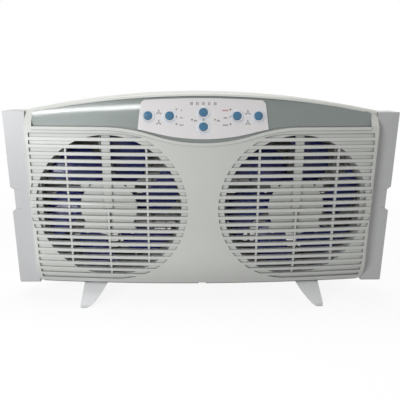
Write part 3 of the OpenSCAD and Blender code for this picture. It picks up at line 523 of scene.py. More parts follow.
# Each finish: its function, its material, its colour setting, its looks and its shader's values
MATERIALS = {
    # The casing's crevices get the strongest painted shade
    "casing": (plastic, "casing_white", "casing",
               {"drift": 0.955, "polish": 0.4, "edge": 0.0007, "dust": 0.1, "grime": 0.75}, {}),
    "extender": (plastic, "extender_white", "extender",
                 {"drift": 0.96, "polish": 0.38, "edge": 0.0006, "dust": 0.1}, {}),
    "foot": (plastic, "foot_white", "foot", {"polish": 0.36, "edge": 0.0008, "dust": 0.08}, {}),
    # Painted shade on the set-back line along the bottom
    "seam": (plastic, "seam_grey", "seam", {"polish": 0.45, "wear": 0.0, "dust": 0.05}, {}),
    "label": (plastic, "panel_white", "label",
              {"drift": 0.97, "polish": 0.34, "grain": 0.0004, "depth": 0.000006,
               "edge": 0.0003, "wear": 0.1, "dust": 0.05}, {}),
    "ring": (plastic, "ring_white", "ring",
             {"drift": 0.98, "polish": 0.22, "depth": 0.000003, "wear": 0.0, "dust": 0.03}, {}),
    "motor": (plastic, "motor_black", "motor",
              {"drift": 0.8, "polish": 0.5, "grain": 0.0009, "depth": 0.00003, "dust": 0.25}, {}),
    "capacitor": (plastic, "capacitor_yellow", "capacitor",
                  {"drift": 0.85, "polish": 0.35, "dust": 0.2}, {}),
    "screen": (plastic, "screen_charcoal", "screen",
               {"drift": 0.7, "polish": 0.55, "wear": 0.0, "dust": 0.2}, {}),
    "rubber": (plastic, "gland_rubber", "rubber",
               {"drift": 0.8, "polish": 0.68, "grain": 0.0004, "depth": 0.00003, "dust": 0.3}, {}),
    "band": (band_paint, "band_paint", "band", {"flakes": 2600.0},
             {"Metallic": 0.15, "Coat Weight": 0.7, "Coat Roughness": 0.05}),
    "button": (button_plastic, "button_blue", "button", {},
               {"Coat Weight": 0.5, "Coat Roughness": 0.05}),
    "blade": (blade_plastic, "blade_blue", "blade", {}, {"Transmission Weight": 0.3, "IOR": 1.49}),
    "shaft": (turned_steel, "shaft_steel", "steel", {"scale": (1.0, 12.0, 1.0)}, METAL),
    "screw": (turned_steel, "screw_steel", "steel", {"scale": (3.0, 1.0, 3.0)}, METAL),
    "bush": (sintered_bronze, "bush_bronze", "bronze", {"pores": 1800.0}, METAL),
    "board": (board_coating, "board_green", "board", {"tracks": 160.0},
              {"Coat Weight": 0.3, "Coat Roughness": 0.15}),
    "lead": (sleeve, "lead_sleeve", "lead", {"threads": 420.0}, {}),
    "ink": (printed, "print_grey", "ink", {}, {}),
    "warm_ink": (printed, "print_warm", "warm_ink", {}, {}),
    "warm_lens": (lens, "lens_warm", "lens_warm", {}, CLEAR),
    "cool_lens": (lens, "lens_cool", "lens_cool", {}, CLEAR),
}
made_materials = {}


def coat(pieces, key):
    """Gives pieces one material in all their slots."""
    if key not in made_materials:
        made_materials[key] = new_material(*MATERIALS[key])
    for piece in pieces:
        if not piece.data.materials:
            piece.data.materials.append(made_materials[key])
        for slot in piece.material_slots:
            slot.material = made_materials[key]


def coat_nodes(material, *starts):
    """Gives a material to the CAD nodes whose names start in one of these ways."""
    for first in starts:
        found = [name for name in frame["nodes"] if name.startswith(first)]
        if not found:
            raise RuntimeError(f"no node's name starts with {first}")
        coat([frame["nodes"][name] for name in found], material)


# ---- modelling by hand ----


def choose(*pieces):
    """Object mode, with these pieces selected and nothing else."""
    if bpy.context.mode != "OBJECT":
        bpy.ops.object.mode_set(mode="OBJECT")
    bpy.ops.object.select_all(action="DESELECT")
    for piece in pieces:
        piece.select_set(True)
        bpy.context.view_layer.objects.active = piece


def pick_all():
    """In edit mode, selects everything."""
    bpy.ops.mesh.select_all(action="SELECT")


def start(name):
    """Names the primitive that was just added and opens it in edit mode, all selected."""
    piece = bpy.context.object
    piece.name = piece.data.name = name
    choose(piece)
    bpy.ops.object.mode_set(mode="EDIT")
    bpy.context.tool_settings.mesh_select_mode = [True, False, False]
    pick_all()
    return piece


def pick(kind, test):
    """In edit mode, selects the verts, edges or faces that pass the test and nothing else."""
    mesh_data = bpy.context.edit_object.data
    bpy.context.tool_settings.mesh_select_mode = [kind == k for k in ("verts", "edges", "faces")]
    bpy.ops.mesh.select_all(action="DESELECT")
    mesh = bmesh.from_edit_mesh(mesh_data)
    for item in getattr(mesh, kind):
        if test(item):
            item.select_set(True)
    mesh.select_flush_mode()
    bmesh.update_edit_mesh(mesh_data)


def finish_with(piece, kind, **settings):
    """Adds a modifier and applies it."""
    choose(piece)
    made = piece.modifiers.new(kind.title(), kind)
    for key, value in settings.items():
        setattr(made, key, value)
    bpy.ops.object.modifier_apply(modifier=made.name)


def settle(piece, matrix=None):
    """Puts a piece in its place and writes the place into its mesh."""
    choose(piece)
    if matrix is not None:
        piece.matrix_world = matrix
    bpy.ops.object.transform_apply(location=True, rotation=True, scale=True)
    return piece


def added(name, data):
    """A new object in the scene."""
    data.name = name
    made = bpy.data.objects.new(name, data)
    bpy.context.scene.collection.objects.link(made)
    return made


def copy_of(piece, name, matrix):
    """A copy with its own mesh, settled in its place."""
    return settle(added(name, piece.data.copy()), matrix)


def joined(pieces, name):
    """Pieces joined into one, under one name."""
    choose(*pieces)
    if len(pieces) > 1:
        bpy.ops.object.join()
    made = bpy.context.object
    made.name = made.data.name = name
    return made


def discard(*pieces):
    """Takes away the patterns that copies were made from."""
    for piece in pieces:
        bpy.data.objects.remove(piece)


def smooth(piece, angle=35):
    """Smooth shading, with edges past the angle kept sharp."""
    choose(piece)
    bpy.ops.object.shade_smooth_by_angle(angle=math.radians(angle))


def resize(x, y, z, about=(0, 0, 0)):
    """In edit mode, stretches what is selected."""
    bpy.ops.transform.resize(value=(x, y, z), center_override=about)


def extrude(x, y, z):
    """In edit mode, extrudes what is selected."""
    bpy.ops.mesh.extrude_region_move(TRANSFORM_OT_translate={"value": (x, y, z)})


def place(piece, body, slot, material, *replaced):
    """Gives a finished piece its body, its material and the nodes it stands for; the slot is not
    used.
    """
    coat([piece], material)
    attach(piece, body)
    if replaced:
        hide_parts(*replaced)


def lathe(name, profile, steps):
    """A closed solid turned about Z from a closed outline of (radius, height) points."""
    bpy.ops.mesh.primitive_plane_add(size=1)
    piece = start(name)
    bpy.ops.mesh.merge(type="CENTER")
    bpy.ops.transform.translate(value=(profile[0][0], 0, profile[0][1]))
    for a, b in zip(profile, profile[1:]):
        extrude(b[0] - a[0], 0, b[1] - a[1])
    pick_all()
    bpy.ops.mesh.spin(steps=steps, angle=math.tau, center=(0, 0, 0), axis=(0, 0, 1))
    pick_all()
    bpy.ops.mesh.remove_doubles(threshold=SAME_SPOT)
    bpy.ops.mesh.normals_make_consistent(inside=False)
    bpy.ops.object.mode_set(mode="OBJECT")
    return piece


# ---- rotors ----

HUB_R = 0.042  # outside of the hub's wall
HUB_FRONT = -0.024
HUB_BACK = 0.001
HUB_WALL = 0.0025
HUB_ROUND = 0.002  # radius of the edge round its floor
HUB_CORNER = 0.001  # of the corner inside
RIM_BREAK = 0.0004  # of the edges at its rim
HUB_STEPS = 72
BOSS_R = 0.008
BORE_R = 0.003
BLADE_ROOT = 0.0408  # radius where a blade starts, inside the hub's wall
BLADE_MID = -0.0125  # place of the blades' middle along Y
CHORD_CUTS = 10
SPAN_CUTS = 10
ROOT_SPAN = math.radians(36)  # angle that a blade covers at its root
BELLY_SPAN = math.radians(9)  # what its widest part adds
BELLY_ARC = math.radians(150)  # of the sine that the widening follows
TIP_SPAN = math.radians(12)  # what its rounded tip takes off
TIP_POWER = 8
TIP_LEAD = math.radians(20)  # how far its tip leans forward


def blade_span(t):
    """Angle that a blade covers at a share t of its length."""
    return ROOT_SPAN + BELLY_SPAN * math.sin(BELLY_ARC * t) - TIP_SPAN * t**TIP_POWER


def pick_row(axis, at):
    """In edit mode, selects the row of a sheet's vertices that lies at a place on an axis."""
    pick("verts", lambda v: abs(v.co[axis] - at) < IN_ROW)


def make_blade():
    """One blade: a flat sheet, shaped row by row, thickened and bent round the fan's axis."""
    size = sizes()
    middle = (BLADE_ROOT + BLADE_R) / 2
    height = BLADE_R - BLADE_ROOT
    width = middle * ROOT_SPAN
    climb = math.atan2(size.blade_pitch, math.tau * middle)
    bpy.ops.mesh.primitive_grid_add(x_subdivisions=CHORD_CUTS, y_subdivisions=SPAN_CUTS, size=1)
    blade = start("blade")
    resize(width, height, 1)
    for i in range(CHORD_CUTS + 1):
        u = i / CHORD_CUTS - 0.5
        pick_row(0, u * width)
        bpy.ops.transform.translate(value=(0, 0, size.blade_camber * (1 - 4 * u * u)))
    rows = [(j / SPAN_CUTS, (0.5 - j / SPAN_CUTS) * height) for j in range(SPAN_CUTS + 1)]
    for t, y in rows:
        pick_row(1, y)
        resize(blade_span(t) / ROOT_SPAN, 1, 1, (0, y, 0))
    pick_all()
    bpy.ops.transform.rotate(value=climb, orient_axis="Y", center_override=(0, 0, 0))
    resize(1 / math.cos(climb), 1, 1)
    for t, y in rows:
        pick_row(1, y)
        bpy.ops.transform.translate(value=(middle * TIP_LEAD * t * t, 0, 0))
    finish_with(blade, "SOLIDIFY", thickness=size.blade_thickness, offset=0)
    finish_with(blade, "SUBSURF", levels=1, render_levels=1)
    across = [v.co.x for v in blade.data.vertices]
    finish_with(blade, "SIMPLE_DEFORM", deform_method="BEND", deform_axis="Z",
                angle=(max(across) - min(across)) / middle)
    return settle(blade, turned(QUARTER, "Z") @ moved((0, -middle, 0)))


def make_hub():
    """The cup that carries the blades, with a boss for the shaft and a rounded rim."""
    back, front, inner = -HUB_BACK, -HUB_FRONT, HUB_R - HUB_WALL
    floor = back + HUB_WALL
    bore = (BORE_R, back - HUB_WALL)
    outline = [
        bore, (BOSS_R, back - HUB_WALL), (BOSS_R, back),
        (HUB_R - HUB_ROUND, back), (HUB_R - HUB_ROUND / 3, back + HUB_ROUND / 3),
        (HUB_R, back + HUB_ROUND), (HUB_R, front - RIM_BREAK), (HUB_R - RIM_BREAK, front),
        (inner + RIM_BREAK, front), (inner, front - RIM_BREAK),
        (inner, floor + HUB_CORNER), (inner - HUB_CORNER, floor),
        (BOSS_R, floor), (BOSS_R, floor + HUB_CORNER), (BORE_R, floor + HUB_CORNER), bore,
    ]
    return lathe("hub", outline, HUB_STEPS)


def make_rotors():
    """Both rotors, from one blade and one hub."""
    blade, hub = make_blade(), make_hub()
    count = sizes().blades
    spread = [
        copy_of(blade, f"blade_{k}", turned(math.tau * k / count, "Z")
                @ moved((0, 0, -BLADE_MID)))
        for k in range(count)
    ]
    rotor = joined([*spread, hub], "rotor")
    smooth(rotor, 40)
    upright = turned(QUARTER, "X")
    for side in SIDES:
        x = joint(f"fan_{side}_spin")["pos_m"][0]
        made = copy_of(rotor, f"rotor_{side}", moved((x, 0, FAN_Z)) @ upright)
        place(made, f"fan_{side}", "fan_blue", "blade", f"blade_{side}")
    discard(blade, rotor)


# ---- insect screens ----

WIRE_SIDES = 6
WIRES_APART = 0.45  # of a wire's thickness, so that crossing wires bite into each other


def wire_row(name, low, high, axis, y):
    """A row of parallel wires that fills the screen's window, running along axis 0 or 2."""
    size = sizes()
    across = 2 - axis
    count = int((high[across] - low[across]) / size.mesh_pitch) - 1
    pitch = (high[across] - low[across]) / (count + 1)
    bpy.ops.mesh.primitive_cylinder_add(
        vertices=WIRE_SIDES, radius=size.wire / 2, depth=high[axis] - low[axis],
        end_fill_type="TRIFAN",
    )
    wires = start(name)
    start_at = (low + high) / 2
    start_at[across] = low[across] + pitch
    start_at.y = y
    turn = turned(QUARTER, "Y") if axis == 0 else Matrix()
    settle(wires, moved(start_at) @ turn)
    step = [0.0, 0.0, 0.0]
    step[across] = pitch
    finish_with(wires, "ARRAY", count=count, use_relative_offset=False,
                use_constant_offset=True, constant_offset_displace=step)
    return wires


def make_screens():
    """The insect screen of each extender: two rows of crossing wires."""
    for side in SIDES:
        low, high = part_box(f"extender_screen_{side}")
        y = (low.y + high.y) / 2
        apart = sizes().wire * WIRES_APART
        upright = wire_row("upright_wires", low, high, 2, y - apart / 2)
        level = wire_row("level_wires", low, high, 0, y + apart / 2)
        screen = joined([upright, level], f"insect_screen_{side}")
        smooth(screen, 60)
        place(screen, f"extender_{side}", "screen_charcoal", "screen", f"extender_screen_{side}")


# ---- the control face ----


def on_panel(x, z):
    """The place and turn of a mark on the panel: Z out of the panel, Y up along it."""
    panel = frame["nodes"]["control_panel"]
    hit, point, normal, _ = panel.ray_cast(Vector((x, CAD_BOX[0].y - 1, z)), Vector((0, 1, 0)))
    if not hit:
        raise RuntimeError(f"no panel at {x:.3f}, {z:.3f}")
    across = Vector((0, 0, 1)).cross(normal).normalized()
    up = normal.cross(across)
    turn = Matrix((across, up, normal)).transposed().to_4x4()
    return moved(point) @ turn


def button_middle(name):
    """The middle of a button's node in X and Z, on its own axis through the panel."""
    low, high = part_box(f"button_{name}")
    return (low.x + high.x) / 2, high.z - (high.x - low.x) / 2 * math.cos(LEAN)


def flat_shape(name, corners, radius, flat=1, turn=0.0, shift=(0, 0)):
    """A thin regular plate of the print's thickness, flattened, turned and shifted."""
    proud = sizes().print_proud
    bpy.ops.mesh.primitive_cylinder_add(vertices=corners, radius=radius, depth=proud)
    piece = start(name)
    resize(1, flat, 1)
    matrix = moved((*shift, proud / 2)) @ turned(turn, "Z")
    return settle(piece, matrix)


def square_bar(width, height, shift):
    """A printed bar with its corners clipped."""
    proud = sizes().print_proud
    bpy.ops.mesh.primitive_cube_add(size=1)
    piece = start("bar")
    resize(width, height, proud)
    pick("edges", lambda e: abs(e.verts[0].co.z - e.verts[1].co.z) > proud / 2)
    bpy.ops.mesh.bevel(offset=height / 4, segments=2)
    return settle(piece, moved((*shift, proud / 2)))


# Of the fan symbol, as shares of its height
DOT_R = 0.12
PETAL_R = 0.21
PETAL_OUT = 0.32
PETAL_FLAT = 0.62
PETAL_TURN = 0.35


def fan_symbol():
    """A small fan: a dot with three petals, one of them straight up."""
    size = sizes().mark
    parts = [flat_shape("dot", 16, size * DOT_R)]
    for k in range(3):
        turn = math.tau * k / 3 + QUARTER
        out = (size * PETAL_OUT * math.cos(turn), size * PETAL_OUT * math.sin(turn))
        parts.append(
            flat_shape("petal", 20, size * PETAL_R, PETAL_FLAT, turn + PETAL_TURN, out)
        )
    return joined(parts, "fan_symbol")


def bars(count, width, height, gap, at):
    """A row of upright bars at a place on the panel, as a rule, a level or a scale mark."""
    middle, pitch = (count - 1) / 2, width + gap
    row = [square_bar(width, height, ((k - middle) * pitch, 0)) for k in range(count)]
    return settle(joined(row, "bars"), at)


ICON_OUT = 0.066  # between the two buttons at each end
ICON_UP, ICON_DOWN = 0.0052, -0.0095
LEVELS = 3  # lights above each other on either side
LEVEL_STEP = 0.002  # least height between two of them
LEGEND_OUT = 0.0325  # middle of the legends beside the outer lights
RULE_WIDTHS = (0.0080, 0.0055, 0.0095)  # beside the right-hand lights, from the lowest up
RULE_HEIGHT = 0.00208
SHORT_RULE = 0.0052  # beside the middle lights, and how far from them
NO_RULE = 0.001  # a light nearer to the fan's middle than this has none
LEVEL_BAR = (0.0016, 0.0026, 0.0006)  # width, height and gap of a level mark's bars
SCALE_BAR = (0.0011, 0.0046, 0.0009)  # and of the scale's
SCALE_PITCH = 0.0088  # of the scale above the middle buttons
SCALE_UP = 0.0132  # of the scale above the upper one's middle


def make_marks():
    """Printed symbols on the panel: fans, level bars, rules and a scale, all generic."""
    _, row = button_middle("power")
    grey, warm = [], []
    for x in (-ICON_OUT, ICON_OUT):
        for z in (row + ICON_UP, row + ICON_DOWN):
            grey.append(settle(fan_symbol(), on_panel(x, z)))
    lights = [(low + high) / 2 for low, high in solids("indicator_lights")]
    outer = [p for p in lights if abs(p.x) > LEGEND_OUT]
    for p in outer:
        level = sum(q.z < p.z - LEVEL_STEP for q in outer if q.x * p.x > 0)
        at = on_panel(math.copysign(LEGEND_OUT, p.x), p.z)
        if p.x < 0:
            grey.append(bars(LEVELS - level, *LEVEL_BAR, at))
        else:
            rule = bars(1, RULE_WIDTHS[level], RULE_HEIGHT, 0, at)
            (warm if level == LEVELS - 1 else grey).append(rule)
    for p in lights:
        if NO_RULE < abs(p.x) < LEGEND_OUT:
            beside = on_panel(p.x + SHORT_RULE, p.z)
            grey.append(bars(1, SHORT_RULE, RULE_HEIGHT, 0, beside))
    _, top = button_middle("temp_up")
    for k in range(-2, 3):
        made = bars(2, *SCALE_BAR, on_panel(k * SCALE_PITCH, top + SCALE_UP))
        (warm if k in (-1, 1) else grey).append(made)
    place(joined(grey, "panel_marks"), "casing", "panel_white", "ink")
    place(joined(warm, "panel_marks_warm"), "casing", "panel_white", "warm_ink")


RING_GAP = 0.0005  # from a button's side to its ring
RING_WIDTH = 0.0021
RING_PROUD = 0.0007
RING_SUNK = 0.0003
RING_STEPS = 48
HOOP_STEPS = 6  # over a ring's round top
LENS_R = 0.96  # of its light's radius
LENS_HEIGHT = 0.55  # of a dome's radius


def make_rings():
    """Rounded rings on the panel round the buttons."""
    axis = Vector(joint("key_select_press")["axis"])
    rings = []
    for name in [node[7:] for node in frame["nodes"] if node.startswith("button_")]:
        low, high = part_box("button_" + name)
        radius = (high.x - low.x) / 2
        inner = radius + RING_GAP
        middle = inner + RING_WIDTH / 2
        hoop = [
            (middle - RING_WIDTH / 2 * math.cos(t), RING_PROUD * math.sin(t))
            for t in [math.pi * k / HOOP_STEPS for k in range(HOOP_STEPS + 1)]
        ]
        foot = (inner, -RING_SUNK)
        outline = [foot, *hoop, (inner + RING_WIDTH, -RING_SUNK), foot]
        x, z = button_middle(name)
        cap = Vector((x, low.y + radius * math.sin(LEAN), z))
        aside = (inner + RING_WIDTH) * math.sqrt(0.5)
        at = on_panel(x + aside, z - aside)
        normal = at.to_3x3().col[2]
        at.translation = cap + axis * ((at.translation - cap).dot(normal) / axis.dot(normal))
        rings.append(settle(lathe("ring", outline, RING_STEPS), at))
    made = joined(rings, "button_rings")
    smooth(made, 50)
    place(made, "casing", "panel_white", "ring")


def make_lenses():
    """Domed lenses over the indicator lights."""
    warm, cool = [], []
    for low, high in solids("indicator_lights"):
        radius = (high.x - low.x) / 2
        bpy.ops.mesh.primitive_uv_sphere_add(
            segments=20, ring_count=12, radius=radius * LENS_R
        )
        dome = start("lens")
        pick("faces", lambda f: f.calc_center_median().z < 0)
        bpy.ops.mesh.delete(type="FACE")
        pick("edges", lambda e: e.is_boundary)
        extrude(0, 0, -radius)
        bpy.ops.mesh.edge_face_add()
        pick_all()
        resize(1, 1, LENS_HEIGHT)
        bpy.ops.mesh.normals_make_consistent(inside=False)
        x = (low.x + high.x) / 2
        out = turned(QUARTER - LEAN, "X")
        front = Vector((x, low.y, high.z - radius * math.cos(LEAN)))
        made = settle(dome, moved(front) @ out)
        (warm if x > LEGEND_OUT else cool).append(made)
    for kind, pieces in (("warm", warm), ("cool", cool)):
        made = joined(pieces, "lenses_" + kind)
        smooth(made, 40)
        place(made, "casing", "light_lens", kind + "_lens")


# ---- screws ----

DOWN = -0.9  # a face whose normal is below this looks down
HEAD_TOP = 0.4  # edges above this share of a head's height are rounded
HEAD_ROUND = 0.45  # by this share of it
SLOT_LENGTH = 1.15  # of the head's radius
SLOT_FOOT = 0.55  # length of a slot's bottom, of its top's
SLOT_UP = 0.45  # middle of a slot above the head's, of the head's height
NEAR_HEAD = (0.9, 1.01)  # shares of the head's radius, just inside and just outside its edge
BELOW_SEAT = 0.001  # from here on a screw is all shank
NEXT_TURN = 0.7  # from one screw's slots to the next one's


def make_screw(head_r, head_h, shank_r, shank_l):
    """A pan head, cross-slotted, on a plain shank; the seat is at the origin, Z outwards."""
    bpy.ops.mesh.primitive_cylinder_add(vertices=32, radius=head_r, depth=head_h)
    screw = start("screw")
    top = head_h * HEAD_TOP
    pick("edges", lambda e: min(v.co.z for v in e.verts) > top and not e.is_boundary)
    bpy.ops.mesh.bevel(offset=head_h * HEAD_ROUND, segments=3)
    pick("faces", lambda f: f.normal.z < DOWN)
    bpy.ops.mesh.inset(thickness=head_r - shank_r, depth=0)
    extrude(0, 0, -shank_l)
    bpy.ops.object.mode_set(mode="OBJECT")
    cutters = []
    for turn in (0.0, QUARTER):
        bpy.ops.mesh.primitive_cube_add(size=1)
        cutter = start("slot")
        resize(head_r * SLOT_LENGTH, sizes().slot_width, head_h)
        pick("faces", lambda f: f.normal.z < DOWN)
        resize(SLOT_FOOT, 1, 1, (0, 0, -head_h / 2))
        up = moved((0, 0, head_h * SLOT_UP))
        cutters.append(settle(cutter, up @ turned(turn, "Z")))
    for cutter in cutters:
        finish_with(screw, "BOOLEAN", operation="DIFFERENCE", object=cutter, solver="EXACT")
    discard(*cutters)
    smooth(screw, 30)
    return settle(screw, moved((0, 0, head_h / 2)))


def screws_for(node, body):
    """Detailed screws in place of a node's plain ones, heads towards the back."""
    boxes = solids(node)
    low, high = boxes[0]
    head_r = (high.x - low.x) / 2
    x, z = (low.x + high.x) / 2, (low.z + high.z) / 2
    inside, outside = (head_r * share for share in NEAR_HEAD)
    verts = frame["nodes"][node].data.vertices
    near = [(math.hypot(v.co.x - x, v.co.z - z), v.co.y) for v in verts]
    near = [(r, y) for r, y in near if r < outside]
    seat = min(y for r, y in near if r > inside)
    shank_r = max(r for r, y in near if y < seat - BELOW_SEAT)
    pattern = make_screw(head_r, high.y - seat, shank_r, seat - low.y)
    out = turned(-QUARTER, "X")
    made = []
    for i, (low, high) in enumerate(boxes):
        centre = Vector(((low.x + high.x) / 2, seat, (low.z + high.z) / 2))
        turn = turned(NEXT_TURN * i, "Z")
        made.append(copy_of(pattern, f"screw_{i}", moved(centre) @ out @ turn))
    discard(pattern)
    place(joined(made, node + "_cross"), body, "screw_steel", "screw", node)


def make_screws():
    """The screws that show from behind."""
    screws_for("housing_screws", "casing")
    for side in SIDES:
        screws_for(f"extender_screws_{side}", f"extender_{side}")


# ---- the stage ----

FLOOR_SIZE = 12.0
NEAR_FLOOR, FAR_FLOOR = 0.45, 0.95  # the floor's own shading fades out between these
FLOOR_GREY = (0.14, 0.14, 0.14, 1)
SENSOR_WIDTH = 36.0
STREAK_X = -0.725  # the strip lamp stands and shines here, left of the fan
# Each lamp: its place, what it shines at (None is the fan's middle), its size and its tint
LAMPS = {
    "key": ((-0.1, 0.2, 1.3), None, (1.2, 0.5), (1, 1, 1)),
    "fill": ((-0.68, -0.85, 0.34), None, (0.45, 0.4), (0.96, 0.97, 1.0)),
    "side": ((1.2, -0.15, 0.45), None, (0.3, 0.7), (1, 1, 1)),
    "streak": ((STREAK_X, -1.28, 0.943), (STREAK_X, 0.0, 0.31), (0.75, 0.014), (1, 1, 1)),
}


def make_lamps():
    """The rectangular area lamps."""
    middle = (CAD_BOX[0] + CAD_BOX[1]) / 2
    for name, (spot, target, size, tint) in LAMPS.items():
        data = bpy.data.lights.new(name, "AREA")
        data.shape, data.size, data.size_y = "RECTANGLE", *size
        data.energy, data.color = getattr(stage(), name + "_watts"), tint
        made = added(name, data)
        made.location = spot
        aim = Vector(target or middle) - Vector(spot)
        made.rotation_euler = aim.to_track_quat("-Z", "Y").to_euler()


def seen_by_eye(tree):
    """1 where the camera looks, straight, by a mirror or through glass."""
    rays = add(tree, "LightPath").outputs
    either = maths(tree, "MAXIMUM", rays["Is Camera Ray"], rays["Is Glossy Ray"])
    return maths(tree, "MAXIMUM", either, rays["Is Transmission Ray"])


def make_world():
    """A pale room that looks white."""
    world = bpy.data.worlds.new("pale_room")
    bpy.context.scene.world = world
    world.use_nodes = True
    tree = world.node_tree
    background = tree.nodes["Background"]
    strength = remap(tree, seen_by_eye(tree), 0.0, 1.0, stage().ambient, 1.0)
    tree.links.new(strength, background.inputs["Strength"])
    background.inputs["Color"].default_value = (1, 1, 1, 1)


def make_floor():
    """A plain white floor that keeps the fan's shadow and fades into white further out."""
    bpy.ops.mesh.primitive_plane_add(size=FLOOR_SIZE)
    floor = start("floor")
    settle(floor, moved((0, 0, CAD_BOX[0].z)))
    made = bpy.data.materials.new("floor_white")
    made.use_nodes = True
    tree = made.node_tree
    tree.nodes.clear()
    where = add(tree, "TexCoord").outputs["Object"]
    distance = add(tree, "VectorMath", {0: where}, operation="LENGTH").outputs["Value"]
    far = remap(tree, distance, NEAR_FLOOR, FAR_FLOOR)
    eye = seen_by_eye(tree)
    paper = add(tree, "BsdfDiffuse", {"Color": FLOOR_GREY}).outputs[0]
    glow = remap(tree, eye, 0.0, 1.0, stage().floor_bounce, stage().floor_lift)
    lift = add(tree, "Emission", {"Strength": glow}).outputs[0]
    near = add(tree, "AddShader", {0: paper, 1: lift}).outputs[0]
    white = add(tree, "Emission", {"Strength": 1.0}).outputs[0]
    blank = maths(tree, "MULTIPLY", far, eye)
    both = add(tree, "MixShader", {0: blank, 1: near, 2: white}).outputs[0]
    add(tree, "OutputMaterial", {"Surface": both})
    floor.data.materials.append(made)


def make_camera():
    """The camera where the photograph was taken, and plain colours."""
    bpy.context.scene.view_settings.view_transform = "Standard"
    settings = stage()
    data = bpy.data.cameras.new("camera")
    data.lens = settings.lens
    data.sensor_width = SENSOR_WIDTH
    camera = added("camera", data)
    camera.location = settings.camera_place
    down, right = settings.camera_down, settings.camera_right
    camera.rotation_euler = (QUARTER - down, settings.camera_roll, -right)
    bpy.context.scene.camera = camera


# ---- thin coats of painted shade on the front shell ----

RECESS_DEPTH = 0.0039  # from the top of the buttons' collars down to the recess floor
RECESS_BOW = 0.202  # how fast the floor falls back to either side
RECESS_REACH = 0.106  # how far the painted floor goes to either side
SAME_FLOOR = 0.001  # what still counts as the floor, which turns under in the middle
FACES_OUT = 0.95  # a floor's face looks out of the panel by at least this cosine
SET_BACK_TOP = 0.0037  # top of the set-back line above the shell's lower edge
SET_BACK_NOTCH_HALF = 0.0055  # half the notch in the middle
FACES_ROOM = -0.3  # a face whose normal is below this along Y looks into the room
COAT = 0.00015


def coat_faces(name, test, slot, material):
    """A thin closed coat on the faces of the front shell that pass the test."""
    film = added(name, frame["nodes"]["front_housing"].data.copy())
    choose(film)
    bpy.ops.mesh.customdata_custom_splitnormals_clear()
    bpy.ops.object.mode_set(mode="EDIT")
    pick_all()
    bpy.ops.mesh.remove_doubles(threshold=SAME_SPOT)
    pick("faces", test)
    bpy.ops.mesh.select_all(action="INVERT")
    bpy.ops.mesh.delete(type="FACE")
    finish_with(film, "SOLIDIFY", thickness=COAT, offset=1)
    if not film.data.polygons:
        raise RuntimeError(f"no faces found for {name}")
    smooth(settle(film))
    place(film, "casing", slot, material)


def make_recess_shade():
    """Painted shade: a coat in the band's colour on the recess floor, which shows as a dark line
    below the panel.
    """
    forward = Vector((0, -math.cos(LEAN), math.sin(LEAN)))
    collars = max(v.co.dot(forward) for v in frame["nodes"]["control_panel"].data.vertices)
    floor = collars - RECESS_DEPTH

    def on_floor(face):
        inside = all(abs(v.co.x) < RECESS_REACH for v in face.verts)
        off = max(abs(v.co.dot(forward) + RECESS_BOW * v.co.x**2 - floor) for v in face.verts)
        return inside and off < SAME_FLOOR and face.normal.dot(forward) > FACES_OUT

    coat_faces("recess_paint", on_floor, "silver_band", "band")


def make_bottom_shade():
    """Painted shade: a dark grey coat on the set-back line along the bottom, on either side of its
    notch.
    """
    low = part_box("front_housing")[0]

    def on_line(face):
        inside = all(
            v.co.z < low.z + SET_BACK_TOP and abs(v.co.x) > SET_BACK_NOTCH_HALF and v.co.y < 0
            for v in face.verts
        )
        return inside and face.normal.y < FACES_ROOM

    coat_faces("bottom_seam", on_line, "casing_white", "seam")


# ---- operators ----


class Maker(bpy.types.Operator):
    """Finishes its CAD nodes and models its own pieces, and stops with an error if it can't"""

    bl_options = {"REGISTER", "UNDO"}
    coats = ()  # a material, and the starts of the names of the nodes that get it
    steps = ()  # what models the operator's own pieces

    def execute(self, context):
        for material, *starts in self.coats:
            coat_nodes(material, *starts)
        for step in self.steps:
            step()
        return {"FINISHED"}


class WINDOW_FAN_OT_stage(Maker):
    """Camera, floor, pale room and lamps"""

    bl_idname = "window_fan.stage"
    bl_label = "Stage"
    steps = (make_camera, make_world, make_floor, make_lamps)


class WINDOW_FAN_OT_casing(Maker):
    """Finishes the two shells and the grommet"""

    bl_idname = "window_fan.casing"
    bl_label = "Casing"
    coats = (("casing", "front_housing", "rear_housing"), ("rubber", "cord_gland"))


class WINDOW_FAN_OT_extenders(Maker):
    """Finishes the sliding ends and their frames, and weaves their insect screens"""

    bl_idname = "window_fan.extenders"
    bl_label = "Extenders"
    coats = (("extender", "extender_frame", "extender_end"),)
    steps = (make_screens,)


class WINDOW_FAN_OT_feet(Maker):
    """Finishes the feet"""

    bl_idname = "window_fan.feet"
    bl_label = "Feet"
    coats = (("foot", "foot"),)


class WINDOW_FAN_OT_face(Maker):
    """Finishes the band, the panel and the buttons"""

    bl_idname = "window_fan.face"
    bl_label = "Control Face"
    coats = (("band", "trim_band"), ("label", "control_panel"), ("button", "button"))


class WINDOW_FAN_OT_coats(Maker):
    """Coats the recess floor below the panel and the line along the bottom with painted shade"""

    bl_idname = "window_fan.coats"
    bl_label = "Recess and Seam"
    steps = (make_recess_shade, make_bottom_shade)


class WINDOW_FAN_OT_rings(Maker):
    """Puts rounded rings round the buttons"""

    bl_idname = "window_fan.rings"
    bl_label = "Button Rings"
    steps = (make_rings,)


class WINDOW_FAN_OT_marks(Maker):
    """Prints the panel's symbols"""

    bl_idname = "window_fan.marks"
    bl_label = "Panel Marks"
    steps = (make_marks,)


class WINDOW_FAN_OT_lenses(Maker):
    """Finishes the indicator lights and puts domed lenses on them"""

    bl_idname = "window_fan.lenses"
    bl_label = "Light Lenses"
    coats = (("cool_lens", "indicator_lights"),)
    steps = (make_lenses,)


class WINDOW_FAN_OT_rotors(Maker):
    """Models the two rotors and finishes their nuts"""

    bl_idname = "window_fan.rotors"
    bl_label = "Rotors"
    coats = (("blade", "blade_nut"),)
    steps = (make_rotors,)


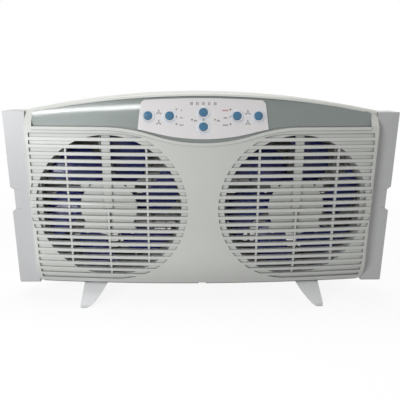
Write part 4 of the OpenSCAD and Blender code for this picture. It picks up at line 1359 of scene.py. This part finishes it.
class WINDOW_FAN_OT_drives(Maker):
    """Finishes the motors, shafts, bushes and leads"""

    bl_idname = "window_fan.drives"
    bl_label = "Motors and Shafts"
    coats = (
        ("motor", "motor_left", "motor_right"),
        ("shaft", "motor_shaft"),
        ("bush", "motor_bushes"),
        ("lead", "motor_leads"),
        ("screw", "motor_screws"),
    )


class WINDOW_FAN_OT_electronics(Maker):
    """Finishes the circuit board and what it carries"""

    bl_idname = "window_fan.electronics"
    bl_label = "Circuit Board"
    coats = (
        ("board", "control_board"),
        ("motor", "tact_switches"),
        ("capacitor", "run_capacitors"),
        ("screw", "board_screws"),
    )


class WINDOW_FAN_OT_screws(Maker):
    """Models the cross-slotted screws that show from behind"""

    bl_idname = "window_fan.screws"
    bl_label = "Screws"
    steps = (make_screws,)


OPERATORS = tuple(Maker.__subclasses__())  # in the order above
SETTINGS = {
    "window_fan_finish": FanFinish,
    "window_fan_sizes": FanSizes,
    "window_fan_stage": FanStage,
}


class WINDOW_FAN_PT_panel(bpy.types.Panel):
    """Lists the fan's operators"""

    bl_label = "Window Fan"
    bl_idname = "WINDOW_FAN_PT_panel"
    bl_space_type = "VIEW_3D"
    bl_region_type = "UI"
    bl_category = "Window Fan"

    def draw(self, context):
        for operator in OPERATORS:
            self.layout.operator(operator.bl_idname)
        for name, group in SETTINGS.items():
            box = self.layout.box()
            for key in group.__annotations__:
                box.prop(getattr(context.scene, name), key)


def register():
    """Registers the settings, the operators and the panel."""
    for name, group in SETTINGS.items():
        bpy.utils.register_class(group)
        setattr(bpy.types.Scene, name, PointerProperty(type=group))
    for item in (*OPERATORS, WINDOW_FAN_PT_panel):
        bpy.utils.register_class(item)


def unregister():
    """Takes them away again."""
    for item in reversed((*OPERATORS, WINDOW_FAN_PT_panel)):
        bpy.utils.unregister_class(item)
    for name, group in SETTINGS.items():
        delattr(bpy.types.Scene, name)
        bpy.utils.unregister_class(group)


def main():
    """Makes the fan and its stage."""
    register()
    for operator in OPERATORS:
        group, name = operator.bl_idname.split(".")
        getattr(getattr(bpy.ops, group), name)()


if __name__ == "__main__":
    main()
